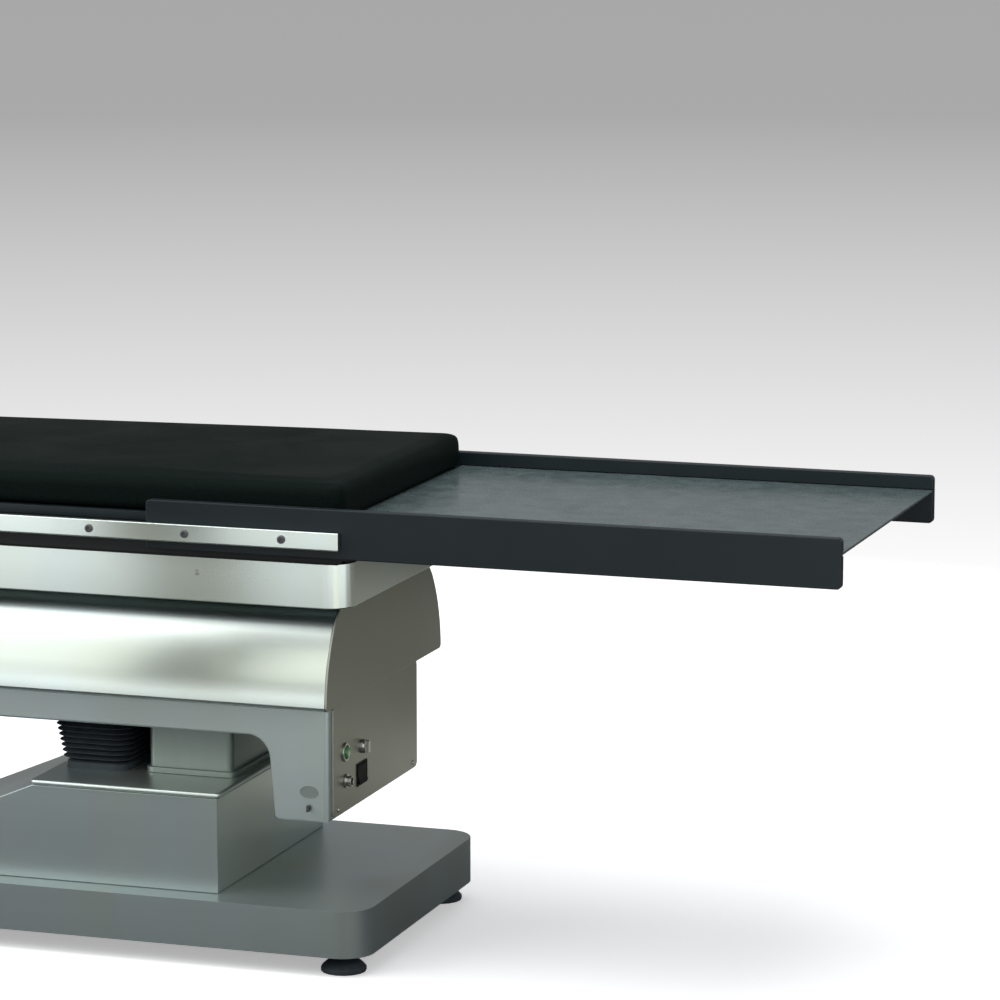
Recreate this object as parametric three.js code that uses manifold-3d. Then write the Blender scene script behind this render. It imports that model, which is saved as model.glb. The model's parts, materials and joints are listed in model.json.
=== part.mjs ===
// Radiography table: pedestal base, telescopic column, tilting head, sliding top and pull-out leaf.
// Millimetres, +Z up, +X towards the leaf, -Y towards the operator. The floor is Z = 0.
import * as THREE from 'three';
import { mergeVertices } from 'three/addons/utils/BufferGeometryUtils.js';
import Module from 'manifold-3d';

const wasm = await Module();
wasm.setup();

// Driving dimensions: heights
const BASE_TOP = 240;
const SKIRT_BOTTOM = 321;
const LEG_BOTTOM = 203;
const HOOD_BOTTOM = 373;
const PITCH_AXIS_Z = 404;
const ROLL_AXIS_Z = 448;
const SADDLE_BOTTOM = 513;
const SADDLE_TOP = 576;
const RAIL_TOP = 633;
const PANEL_TOP = 643;
const PAD_TOP = 694;

// Driving dimensions: lengths along X and half widths along Y
const TOP_LEFT = -1097;
const TOP_RIGHT = 388;
const LEAF_END = 1097;
const LEAF_START = 114;
const COLUMN_X = -32;
const FRAME_LEFT = -333;
const HALF_RAIL = 286;
const HALF_TOP = 258;
const HALF_PAD = 254;

// Sheet, gap and facet sizes shared by many pieces
const SHEET = 3;
const SEAT = 0.3;
const CLEAR = 1;
const ROUND_SIDES = 24;

// Base
const DECK = {
  left: -620, right: 420, half: 250, corner: 45, bottom: 28, top: 95, holeLeft: 200, holeEdge: 10,
};
const TOWER = {
  left: -93, right: 189, half: 210, rampFoot: -419,
  lipOverhang: 4, lid: 8, lidRound: 4, lidCorner: 6, holeDepth: 60,
};
const CHASSIS = { bottom: 84, top: 92, ribHalf: 150, ribWidth: 30, ribDepth: 34, ribInset: 60, inset: 4 };
const FOOT = {
  x: [-575, 375], y: 205, pad: 32, rim: 7, cone: [24, 14], boss: [15, 18], stem: 9, stemFoot: 22, sides: 16,
};
const POWER_BOX = { left: 46, right: 174, half: 115, top: 325, corner: 10, bead: 5, beadHeight: 8 };

// Telescopic column: half sizes of each tube, wall and ends
const COLUMN_WALL = 5;
const COLUMN_CORNER = { outer: 6, inner: 2, ring: 8 };
const OUTER_COLUMN = { halfX: 38, halfY: 95, top: 335, flange: 22, flangeHeight: 10 };
const MIDDLE_COLUMN = { halfX: 32, halfY: 89, bottom: 103, top: 345 };
const INNER_COLUMN = { halfX: 26, halfY: 83, bottom: 108, top: 376, collar: 352, collarThick: 4 };
const RAM = { barrel: 20, sleeve: 16.4, rod: 13, wall: 3, barrelTop: 330, sleeveTop: 340 };
const COLUMN_HEAD = { plateHalf: 45, plateThick: 10, half: 105 };

// Bellows: an oblong concertina that widens upwards
const BELLOWS = {
  ribs: 12, flange: 14, cuff: 4, halfX: 52, halfY: 134, flare: 18, depth: 10, corner: 24,
  boreX: 40, boreY: 100, boreCorner: 6, ribsPerBoreStep: 5,
};
const BELLOWS_CORNER_POINTS = 4;

// Tilting head
const TRUNNION = { radius: 15, from: -126, to: 170, eye: 22 };
const HEAD_FRAME = { end: 361.7, bottom: 414, top: 476, innerY: 112, sideThick: 12, crossThick: 20, eye: 24 };
const HOOD = {
  half: 240, side: 200, lean: 34, shoulder: 86, roll: 6, end: 365, flangeTo: 187,
  openX: 300, openY: 86, openDepth: 20,
};
const SKIRT = {
  end: 347, half: 184, corner: 8, archStart: 222, archRound: 34,
  legFoot: 265, legTop: 254, legRound: 5, wallDepth: 10,
};
const PANEL = { half: 174, bottom: 208, top: 367, thick: 3, corner: 8 };
const PITCH_MOTOR = { radius: 24, length: 125, gearHalf: 35, below: 30, above: 44, outer: 176, z: 420 };
const ROLL_MOTOR = {
  left: -340.7, right: -272, half: 45, below: 40, above: 36, radius: 30, length: 62, z: 432,
};

// Controls on the leg: places are [Y, Z] on the end panel
const BUTTON = { at: [-128, 293], radius: 9, proud: 6, back: 9, rim: 3.5, dome: 0.8 };
const KEY_SWITCH = {
  at: [-59, 287], radius: 10, stem: 6, back: 8, rim: 4, cap: 6, chamfer: 2, proud: 11, wing: [7, 17],
};
const ROCKER = { at: [-62, 249], halfY: 17, halfZ: 13, back: 7, proud: 4, dip: 1, low: 2, room: 2 };
const SOCKET = { at: [-125, 251], radius: 7.5, flange: 10, flangeThick: 2.5, wall: 2, floor: 3, proud: 9 };
const EARTH_STUD = { x: 317, z: 223, radius: 3, seat: 2, tab: [2.5, 9], length: 9, sides: 16 };
const CONTROL_GAP = 0.5;

// Rolling saddle under the sliding top
const SADDLE = { end: 386, half: 215, corner: 36 };
const HANGER = {
  x: 215, thick: 16, eye: 30, topHalf: 70, waistHalf: 44, waistRise: 50, beamHalf: 80, beamEnd: 280, beam: 11,
};
const SHAFT = { radius: 16, end: 361 };
const GUIDE = { y: 150, end: 370, foot: 9, neck: 6, head: 12, neckBottom: 579, headBottom: 584, top: 590 };

// Sliding top
const FRAME_SIDE = { thick: 20, bottom: 583, top: 630.7, round: 4 };
const CROSS = {
  x: [-300, 30, 360], thick: 40, bottom: 597, shoe: 24, shoeBottom: 581, relief: 3, throat: 2, play: 0.6,
};
const PANEL_BOARD = { thick: 12, deep: 37, deepTo: -345, taperTo: -400, corner: 60, nose: 8 };
const RAIL = { left: FRAME_LEFT, right: 400, thick: 10, height: 25, edge: 2 };
const SPACER = { first: 318, pitch: 142, count: 5, radius: 8, sides: 16 };
const PAD = { left: -1092, right: 387, edge: 16, crown: 3, drawIn: 3 };

// Pull-out leaf
const BOARD = { outer: 274.5, inner: 260, bottom: 595, top: 663, corner: 6, slotHeight: 18, slotEnd: 330 };
const TRAY = { left: 390, thick: 4, letIn: 4, endGap: 1, corner: 2 };
const TIE = { x: [560, 960], z: 617, radius: 9, sides: 16 };

// Finishes
const FINISHES = {
  brushedSteel: { color: 0xc6cbc8, roughness: 0.35, metalness: 0.9 },
  satinSteel: { color: 0x8a908c, roughness: 0.45, metalness: 0.85 },
  machinedSteel: { color: 0x9b9d9e, roughness: 0.3, metalness: 0.95 },
  paintedSteel: { color: 0x1d2022, roughness: 0.6, metalness: 0.3 },
  castIron: { color: 0x54585a, roughness: 0.7, metalness: 0.5 },
  rubber: { color: 0x15181a, roughness: 0.7, metalness: 0 },
  vinyl: { color: 0x191d1c, roughness: 0.5, metalness: 0 },
  laminate: { color: 0x232c30, roughness: 0.4, metalness: 0 },
  composite: { color: 0x6b7c7e, roughness: 0.35, metalness: 0 },
  greenLens: { color: 0x3f9a4e, roughness: 0.25, metalness: 0 },
  blackPlastic: { color: 0x17191a, roughness: 0.45, metalness: 0 },
};

const table = new THREE.Group();

function place(name, geometry, finish) {
  const mesh = new THREE.Mesh(geometry, new THREE.MeshStandardMaterial(FINISHES[finish]));
  mesh.name = name;
  table.add(mesh);
  return mesh;
}

// Boolean cuts and joins on closed meshes
function solid(geometry) {
  const bare = geometry.clone();
  bare.deleteAttribute('normal');
  bare.deleteAttribute('uv');
  const merged = mergeVertices(bare, 1e-4);
  return new wasm.Manifold(new wasm.Mesh({
    numProp: 3,
    vertProperties: new Float32Array(merged.attributes.position.array),
    triVerts: new Uint32Array(merged.index.array),
  }));
}

function meshOf(manifold) {
  const { numProp, vertProperties, triVerts } = manifold.getMesh();
  const points = [];
  for (let i = 0; i < vertProperties.length; i += numProp) {
    points.push(vertProperties[i], vertProperties[i + 1], vertProperties[i + 2]);
  }
  const geometry = new THREE.BufferGeometry();
  geometry.setAttribute('position', new THREE.Float32BufferAttribute(points, 3));
  geometry.setIndex(Array.from(triVerts));
  geometry.computeVertexNormals();
  return geometry;
}

function join(first, ...others) {
  return meshOf(others.reduce((sum, part) => sum.add(solid(part)), solid(first)));
}

function cut(first, ...tools) {
  return meshOf(tools.reduce((rest, tool) => rest.subtract(solid(tool)), solid(first)));
}

function common(first, second) {
  return meshOf(solid(first).intersect(solid(second)));
}

// A closed outline from corner points [u, v, radius], with each round corner a true arc
function outline(corners) {
  const shape = new THREE.Shape();
  const at = (i) => new THREE.Vector2(...corners[(i + corners.length) % corners.length]);
  corners.forEach(([, , radius = 0], i) => {
    const here = at(i);
    if (radius === 0) {
      if (i === 0) shape.moveTo(here.x, here.y);
      else shape.lineTo(here.x, here.y);
      return;
    }
    const back = at(i - 1).sub(here).normalize();
    const ahead = at(i + 1).sub(here).normalize();
    const halfAngle = Math.acos(back.dot(ahead)) / 2;
    const start = here.clone().addScaledVector(back, radius / Math.tan(halfAngle));
    const end = here.clone().addScaledVector(ahead, radius / Math.tan(halfAngle));
    const bisector = back.clone().add(ahead).normalize();
    const centre = here.clone().addScaledVector(bisector, radius / Math.sin(halfAngle));
    const from = Math.atan2(start.y - centre.y, start.x - centre.x);
    const to = Math.atan2(end.y - centre.y, end.x - centre.x);
    if (i === 0) shape.moveTo(start.x, start.y);
    else shape.lineTo(start.x, start.y);
    shape.absarc(centre.x, centre.y, radius, from, to, back.cross(ahead) > 0);
  });
  shape.closePath();
  return shape;
}

function rectangle(u0, v0, u1, v1, radius = 0) {
  return outline([[u0, v0, radius], [u1, v0, radius], [u1, v1, radius], [u0, v1, radius]]);
}

function circle(u, v, radius) {
  return new THREE.Shape().absarc(u, v, radius, 0, Math.PI * 2);
}

// Extrusions of a drawn outline along each axis, from one end to the other
function extrude(shape, length, curveSegments) {
  return new THREE.ExtrudeGeometry(shape, { depth: length, bevelEnabled: false, curveSegments });
}

function alongX(shape, from, to, segments = 4) {
  const turn = new THREE.Matrix4().makeBasis(
    new THREE.Vector3(0, 1, 0), new THREE.Vector3(0, 0, 1), new THREE.Vector3(1, 0, 0));
  return extrude(shape, to - from, segments).applyMatrix4(turn).translate(from, 0, 0);
}

function alongY(shape, from, to, segments = 4) {
  const turn = new THREE.Matrix4().makeBasis(
    new THREE.Vector3(1, 0, 0), new THREE.Vector3(0, 0, 1), new THREE.Vector3(0, -1, 0));
  return extrude(shape, to - from, segments).applyMatrix4(turn).translate(0, to, 0);
}

function alongZ(shape, from, to, segments = 4) {
  return extrude(shape, to - from, segments).translate(0, 0, from);
}

function box(x0, x1, y0, y1, z0, z1) {
  return new THREE.BoxGeometry(x1 - x0, y1 - y0, z1 - z0)
    .translate((x0 + x1) / 2, (y0 + y1) / 2, (z0 + z1) / 2);
}

// A turned piece from a profile of [radius, height] points, standing on its axis
function turned(profile, sides = ROUND_SIDES) {
  const points = profile.map(([radius, height]) => new THREE.Vector2(radius, height));
  return new THREE.LatheGeometry(points, sides).rotateX(Math.PI / 2);
}

const rodX = (y, z, radius, from, to, sides = ROUND_SIDES) =>
  turned([[0, from], [radius, from], [radius, to], [0, to]], sides)
    .rotateY(Math.PI / 2).translate(0, y, z);

const rodY = (x, z, radius, from, to, sides = ROUND_SIDES) =>
  turned([[0, -to], [radius, -to], [radius, -from], [0, -from]], sides)
    .rotateX(Math.PI / 2).translate(x, 0, z);

// Base

// The tower's side view: upright at the right, with a ramp down to the deck at the left
function towerSide(inset) {
  const foot = DECK.top + SEAT - (inset > 0 ? CLEAR : 0);
  const roof = BASE_TOP - TOWER.lid - SEAT - inset;
  return outline([
    [TOWER.rampFoot + inset * 2, foot], [TOWER.right - inset, foot],
    [TOWER.right - inset, roof], [TOWER.left, roof],
  ]);
}

function buildBase() {
  const deckOutline = (inset) => rectangle(
    DECK.left + inset, -DECK.half + inset, DECK.right - inset, DECK.half - inset, DECK.corner - inset);
  const deckHole = box(TOWER.left - DECK.holeLeft, TOWER.right - DECK.holeEdge,
    -TOWER.half + DECK.holeEdge, TOWER.half - DECK.holeEdge, DECK.bottom, DECK.top + CLEAR);
  place('base_deck', cut(
    alongZ(deckOutline(0), DECK.bottom, DECK.top, 3),
    alongZ(deckOutline(SHEET), DECK.bottom - CLEAR, DECK.top - SHEET, 3),
    deckHole), 'brushedSteel');

  const columnHole = box(
    COLUMN_X - OUTER_COLUMN.halfX - COLUMN_WALL, COLUMN_X + OUTER_COLUMN.halfX + COLUMN_WALL,
    -OUTER_COLUMN.halfY - COLUMN_WALL, OUTER_COLUMN.halfY + COLUMN_WALL,
    BASE_TOP - TOWER.holeDepth, BASE_TOP + CLEAR);
  place('base_tower', cut(
    alongY(towerSide(0), -TOWER.half, TOWER.half),
    alongY(towerSide(SHEET), -TOWER.half + SHEET, TOWER.half - SHEET),
    columnHole), 'brushedSteel');

  const lidOutline = rectangle(
    TOWER.left - TOWER.lipOverhang + TOWER.lidRound, -TOWER.half - TOWER.lipOverhang + TOWER.lidRound,
    TOWER.right + TOWER.lipOverhang - TOWER.lidRound, TOWER.half + TOWER.lipOverhang - TOWER.lidRound,
    TOWER.lidCorner);
  const lid = new THREE.ExtrudeGeometry(lidOutline, {
    depth: TOWER.lid - 2 * TOWER.lidRound + 0.001, bevelThickness: TOWER.lidRound, bevelSize: TOWER.lidRound,
    bevelSegments: 3, curveSegments: 3,
  }).translate(0, 0, BASE_TOP - TOWER.lid + TOWER.lidRound);
  place('base_lid', cut(lid, columnHole), 'brushedSteel');

  const rib = (y) => box(DECK.left + CHASSIS.ribInset, DECK.right - CHASSIS.ribInset,
    y - CHASSIS.ribWidth / 2, y + CHASSIS.ribWidth / 2,
    CHASSIS.bottom - CHASSIS.ribDepth, CHASSIS.bottom + CLEAR);
  const plate = rectangle(DECK.left + CHASSIS.inset, -DECK.half + CHASSIS.inset,
    DECK.right - CHASSIS.inset, DECK.half - CHASSIS.inset, DECK.corner - CHASSIS.inset);
  place('base_chassis', join(
    alongZ(plate, CHASSIS.bottom, CHASSIS.top - SEAT, 3),
    rib(-CHASSIS.ribHalf), rib(CHASSIS.ribHalf)), 'paintedSteel');

  for (const [side, sign] of [['near', -1], ['far', 1]]) {
    for (const [end, x] of [['left', FOOT.x[0]], ['right', FOOT.x[1]]]) {
      const profile = [
        [0, 0], [FOOT.pad, 0], [FOOT.pad, FOOT.rim], FOOT.cone, FOOT.boss,
        [FOOT.stem, FOOT.stemFoot], [FOOT.stem, CHASSIS.bottom - SEAT], [0, CHASSIS.bottom - SEAT],
      ];
      place(`foot_${side}_${end}`, turned(profile, FOOT.sides).translate(x, sign * FOOT.y, 0), 'rubber');
    }
  }

  const housing = rectangle(
    POWER_BOX.left, -POWER_BOX.half, POWER_BOX.right, POWER_BOX.half, POWER_BOX.corner);
  const bead = rectangle(
    POWER_BOX.left - POWER_BOX.bead, -POWER_BOX.half - POWER_BOX.bead,
    POWER_BOX.right + POWER_BOX.bead, POWER_BOX.half + POWER_BOX.bead, POWER_BOX.corner + POWER_BOX.bead);
  const foot = BASE_TOP + SEAT;
  place('power_housing', join(
    alongZ(housing, foot, POWER_BOX.top, 3),
    alongZ(bead, foot, foot + POWER_BOX.beadHeight, 3)), 'satinSteel');
}

// Telescopic column

function tube(half, bottom, top) {
  const section = rectangle(
    COLUMN_X - half.halfX, -half.halfY, COLUMN_X + half.halfX, half.halfY, COLUMN_CORNER.outer);
  section.holes.push(rectangle(
    COLUMN_X - half.halfX + COLUMN_WALL, -half.halfY + COLUMN_WALL,
    COLUMN_X + half.halfX - COLUMN_WALL, half.halfY - COLUMN_WALL, COLUMN_CORNER.inner));
  return alongZ(section, bottom, top, 2);
}

function columnRing(half, outerX, outerY, bottom, top) {
  const ring = rectangle(COLUMN_X - outerX, -outerY, COLUMN_X + outerX, outerY, COLUMN_CORNER.ring);
  ring.holes.push(rectangle(
    COLUMN_X - half.halfX + CLEAR, -half.halfY + CLEAR, COLUMN_X + half.halfX - CLEAR, half.halfY - CLEAR));
  return alongZ(ring, bottom, top, 2);
}

function pipe(radius, wall, bottom, top) {
  const profile = [
    [radius - wall, bottom], [radius, bottom], [radius, top], [radius - wall, top], [radius - wall, bottom],
  ];
  return turned(profile).translate(COLUMN_X, 0, 0);
}

function buildColumn() {
  const foot = CHASSIS.top;
  place('outer_column', join(
    tube(OUTER_COLUMN, foot, OUTER_COLUMN.top),
    columnRing(OUTER_COLUMN, OUTER_COLUMN.halfX + OUTER_COLUMN.flange, OUTER_COLUMN.halfY + OUTER_COLUMN.flange,
      foot, foot + OUTER_COLUMN.flangeHeight)), 'machinedSteel');
  place('middle_column', tube(MIDDLE_COLUMN, MIDDLE_COLUMN.bottom, MIDDLE_COLUMN.top), 'machinedSteel');
  const collarX = BELLOWS.halfX + BELLOWS.flare;
  const collarY = BELLOWS.halfY + BELLOWS.flare;
  place('inner_column', join(
    tube(INNER_COLUMN, INNER_COLUMN.bottom, INNER_COLUMN.top - SEAT),
    columnRing(INNER_COLUMN, collarX, collarY, INNER_COLUMN.collar,
      INNER_COLUMN.collar + INNER_COLUMN.collarThick)), 'machinedSteel');

  place('lift_barrel', pipe(RAM.barrel, RAM.wall, foot, RAM.barrelTop), 'castIron');
  place('lift_sleeve', pipe(RAM.sleeve, RAM.wall, MIDDLE_COLUMN.bottom, RAM.sleeveTop), 'machinedSteel');
  const rod = [[0, INNER_COLUMN.bottom], [RAM.rod, INNER_COLUMN.bottom],
    [RAM.rod, INNER_COLUMN.top - SEAT], [0, INNER_COLUMN.top - SEAT]];
  place('lift_ram', turned(rod).translate(COLUMN_X, 0, 0), 'machinedSteel');

  const { plateHalf, plateThick, half } = COLUMN_HEAD;
  const plateTop = INNER_COLUMN.top + plateThick;
  const eyeArc = new THREE.Shape();
  eyeArc.moveTo(COLUMN_X - plateHalf, INNER_COLUMN.top);
  eyeArc.lineTo(COLUMN_X + plateHalf, INNER_COLUMN.top);
  eyeArc.lineTo(COLUMN_X + plateHalf, plateTop);
  eyeArc.absarc(COLUMN_X, PITCH_AXIS_Z, TRUNNION.eye, 0, Math.PI);
  eyeArc.lineTo(COLUMN_X - plateHalf, plateTop);
  eyeArc.closePath();
  eyeArc.holes.push(circle(COLUMN_X, PITCH_AXIS_Z, TRUNNION.radius + SEAT));
  place('column_head', alongY(eyeArc, -half, half, 8), 'castIron');
  place('trunnion_pin', rodY(COLUMN_X, PITCH_AXIS_Z, TRUNNION.radius, TRUNNION.from, TRUNNION.to),
    'machinedSteel');
}

// Points of a rounded oblong, the same count at every height so that rings join
function oblongRing(halfX, halfY, corner) {
  const ring = [];
  for (const [cornerX, cornerY, quarter] of [[1, 1, 0], [-1, 1, 1], [-1, -1, 2], [1, -1, 3]]) {
    for (let i = 0; i < BELLOWS_CORNER_POINTS; i += 1) {
      const angle = (quarter + i / (BELLOWS_CORNER_POINTS - 1)) * Math.PI / 2;
      ring.push([
        COLUMN_X + cornerX * (halfX - corner) + corner * Math.cos(angle),
        cornerY * (halfY - corner) + corner * Math.sin(angle),
      ]);
    }
  }
  return ring;
}

// Rings of equal count joined into a closed skin: up the outside, over the top and down the bore
function loft(rings) {
  const count = rings[0].length;
  const positions = rings.flat(2);
  const index = [];
  rings.forEach((_, level) => {
    const here = level * count;
    const above = ((level + 1) % rings.length) * count;
    for (let i = 0; i < count; i += 1) {
      const next = (i + 1) % count;
      index.push(here + i, here + next, above + next, here + i, above + next, above + i);
    }
  });
  const geometry = new THREE.BufferGeometry();
  geometry.setAttribute('position', new THREE.Float32BufferAttribute(positions, 3));
  geometry.setIndex(index);
  geometry.computeVertexNormals();
  return geometry;
}

function buildBellows() {
  const bottom = BASE_TOP + SEAT;
  const top = INNER_COLUMN.collar - SEAT;
  const ringAt = (z, inset) => {
    const grow = BELLOWS.flare * (z - bottom) / (top - bottom) - inset;
    return oblongRing(BELLOWS.halfX + grow, BELLOWS.halfY + grow, BELLOWS.corner)
      .map(([x, y]) => [x, y, z]);
  };
  const boreAt = (z) => oblongRing(BELLOWS.boreX, BELLOWS.boreY, BELLOWS.boreCorner).map(([x, y]) => [x, y, z]);
  const first = bottom + BELLOWS.flange;
  const last = top - BELLOWS.cuff;
  const pitch = (last - first) / BELLOWS.ribs;
  const rings = [ringAt(bottom, BELLOWS.depth / 2), ringAt(first - pitch / 2, BELLOWS.depth / 2)];
  for (let rib = 0; rib < BELLOWS.ribs; rib += 1) {
    rings.push(ringAt(first + rib * pitch, BELLOWS.depth));
    rings.push(ringAt(first + (rib + 0.5) * pitch, 0));
  }
  rings.push(ringAt(last, BELLOWS.depth), ringAt(top, BELLOWS.depth));
  const boreSteps = Math.ceil(BELLOWS.ribs / BELLOWS.ribsPerBoreStep);
  for (let step = boreSteps; step >= 0; step -= 1) {
    rings.push(boreAt(bottom + (top - bottom) * step / boreSteps));
  }
  place('bellows', loft(rings), 'rubber');
}

// Tilting head

// The section: flat underside, small lower roll, long leaning side, then the shoulder up to the flat roof
function hoodArch(inset) {
  const arch = new THREE.Shape();
  const lean = THREE.MathUtils.degToRad(HOOD.lean);
  const side = HOOD.side - inset;
  const sideY = HOOD.half - HOOD.side;
  const shoulder = HOOD.shoulder - inset;
  const shoulderY = sideY + (HOOD.side - HOOD.shoulder) * Math.cos(lean);
  const shoulderZ = HOOD_BOTTOM + (HOOD.side - HOOD.shoulder) * Math.sin(lean);
  const roll = HOOD.roll - inset;
  const rollY = sideY + Math.sqrt((HOOD.side - HOOD.roll) ** 2 - HOOD.roll ** 2);
  const rollZ = HOOD_BOTTOM + HOOD.roll;
  const meet = Math.atan2(HOOD.roll, rollY - sideY);
  arch.moveTo(-rollY, rollZ - roll);
  arch.lineTo(rollY, rollZ - roll);
  arch.absarc(rollY, rollZ, roll, -Math.PI / 2, meet);
  arch.absarc(sideY, HOOD_BOTTOM, side, meet, lean);
  arch.absarc(shoulderY, shoulderZ, shoulder, lean, Math.PI / 2);
  arch.absarc(-shoulderY, shoulderZ, shoulder, Math.PI / 2, Math.PI - lean);
  arch.absarc(-sideY, HOOD_BOTTOM, side, Math.PI - lean, Math.PI - meet);
  arch.absarc(-rollY, rollZ, roll, Math.PI - meet, Math.PI * 1.5);
  arch.closePath();
  return arch;
}

function buildHood() {
  const canopyEnd = HOOD.end - SHEET - SEAT;
  const arcFacets = 8;
  const vault = alongX(hoodArch(0), -canopyEnd, canopyEnd, arcFacets);
  const inside = alongX(hoodArch(SHEET), -HOOD.end, HOOD.end, arcFacets);
  const doorway = box(-HOOD.end, HOOD.end, -HOOD.flangeTo, HOOD.flangeTo,
    HOOD_BOTTOM - CLEAR, HOOD_BOTTOM + SHEET + CLEAR);
  const roofHole = box(-HOOD.openX, HOOD.openX, -HOOD.openY, HOOD.openY,
    SADDLE_BOTTOM - HOOD.openDepth, SADDLE_TOP);
  place('hood_canopy', cut(vault, inside, doorway, roofHole), 'brushedSteel');

  const endPlate = hoodArch(0);
  place('hood_end_right', alongX(endPlate, HOOD.end - SHEET, HOOD.end, arcFacets), 'satinSteel');
  place('hood_end_left', alongX(endPlate, -HOOD.end, -HOOD.end + SHEET, arcFacets), 'satinSteel');
}

function buildHeadFrame() {
  const { end, bottom, top, innerY, sideThick, crossThick, eye } = HEAD_FRAME;
  const outerY = innerY + sideThick;
  const sides = [-1, 1].flatMap((sign) => {
    const [from, to] = sign < 0 ? [-outerY, -innerY] : [innerY, outerY];
    return [box(-end, end, from, to, bottom, top), rodY(COLUMN_X, PITCH_AXIS_Z, eye, from, to)];
  });
  const crosses = [-1, 1].map((sign) => (
    sign < 0 ? box(-end, -end + crossThick, -outerY, outerY, bottom, top)
      : box(end - crossThick, end, -outerY, outerY, bottom, top)));
  place('head_frame', cut(
    join(...sides, ...crosses),
    rodY(COLUMN_X, PITCH_AXIS_Z, TRUNNION.radius + SEAT, -outerY - CLEAR, outerY + CLEAR),
    rodX(0, ROLL_AXIS_Z, SHAFT.radius + SEAT, -end - CLEAR, end + CLEAR)), 'paintedSteel');

  const gearbox = box(COLUMN_X - PITCH_MOTOR.gearHalf, COLUMN_X + PITCH_MOTOR.gearHalf,
    outerY + SEAT, PITCH_MOTOR.outer, PITCH_AXIS_Z - PITCH_MOTOR.below, PITCH_AXIS_Z + PITCH_MOTOR.above);
  const motorY = (outerY + PITCH_MOTOR.outer) / 2;
  place('pitch_gearmotor', cut(
    join(gearbox, rodX(motorY, PITCH_MOTOR.z, PITCH_MOTOR.radius, COLUMN_X, COLUMN_X + PITCH_MOTOR.length)),
    rodY(COLUMN_X, PITCH_AXIS_Z, TRUNNION.radius + SEAT, outerY, PITCH_MOTOR.outer + CLEAR)), 'castIron');

  const rollBox = box(ROLL_MOTOR.left, ROLL_MOTOR.right, -ROLL_MOTOR.half, ROLL_MOTOR.half,
    ROLL_AXIS_Z - ROLL_MOTOR.below, ROLL_AXIS_Z + ROLL_MOTOR.above);
  const rollX = (ROLL_MOTOR.left + ROLL_MOTOR.right) / 2;
  place('roll_gearmotor', cut(
    join(rollBox, rodY(rollX, ROLL_MOTOR.z, ROLL_MOTOR.radius, 0, ROLL_MOTOR.half + ROLL_MOTOR.length)),
    rodX(0, ROLL_AXIS_Z, SHAFT.radius + SEAT, ROLL_MOTOR.left - CLEAR, ROLL_MOTOR.right + CLEAR)), 'castIron');
}

// The skirt in one sheet-metal shell with the leg that hangs past the end of the base
function buildSkirt() {
  const { end, half, corner, archStart, archRound, legFoot, legTop, legRound, wallDepth } = SKIRT;
  const roof = HEAD_FRAME.bottom - SEAT;
  const side = outline([
    [-end, SKIRT_BOTTOM], [archStart + archRound, SKIRT_BOTTOM, archRound],
    [legFoot, LEG_BOTTOM, legRound], [end, LEG_BOTTOM, legRound], [end, roof], [-end, roof],
  ]);
  const plan = rectangle(-end, -half, end, half, corner);
  const shellBlock = common(alongY(side, -half, half, 5), alongZ(plan, LEG_BOTTOM, roof, 4));
  const innerPlan = rectangle(-end + SHEET, -half + SHEET, end - SHEET, half - SHEET, corner - SHEET);
  const skirtRoom = common(
    alongY(rectangle(-end, LEG_BOTTOM - CLEAR, legTop - SHEET, roof + CLEAR), -half, half),
    alongZ(innerPlan, LEG_BOTTOM - CLEAR, roof + CLEAR, 4));
  const legRoom = common(
    alongY(outline([[legFoot + SHEET, LEG_BOTTOM + SHEET], [end, LEG_BOTTOM + SHEET], [end, roof + CLEAR],
      [legTop + SHEET, roof + CLEAR]]), -half, half),
    alongZ(innerPlan, LEG_BOTTOM - CLEAR, roof + CLEAR, 4));
  const openings = [
    rodX(...BUTTON.at, BUTTON.radius + CONTROL_GAP, end - wallDepth, end + CLEAR),
    rodX(...KEY_SWITCH.at, KEY_SWITCH.stem + CONTROL_GAP, end - wallDepth, end + CLEAR),
    box(end - wallDepth, end + CLEAR,
      ROCKER.at[0] - ROCKER.halfY - ROCKER.room, ROCKER.at[0] + ROCKER.halfY + ROCKER.room,
      ROCKER.at[1] - ROCKER.halfZ - ROCKER.room, ROCKER.at[1] + ROCKER.halfZ + ROCKER.room),
  ];
  place('skirt_shell', cut(shellBlock, skirtRoom, legRoom, ...openings), 'brushedSteel');
}

// Controls on the end of the leg

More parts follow.
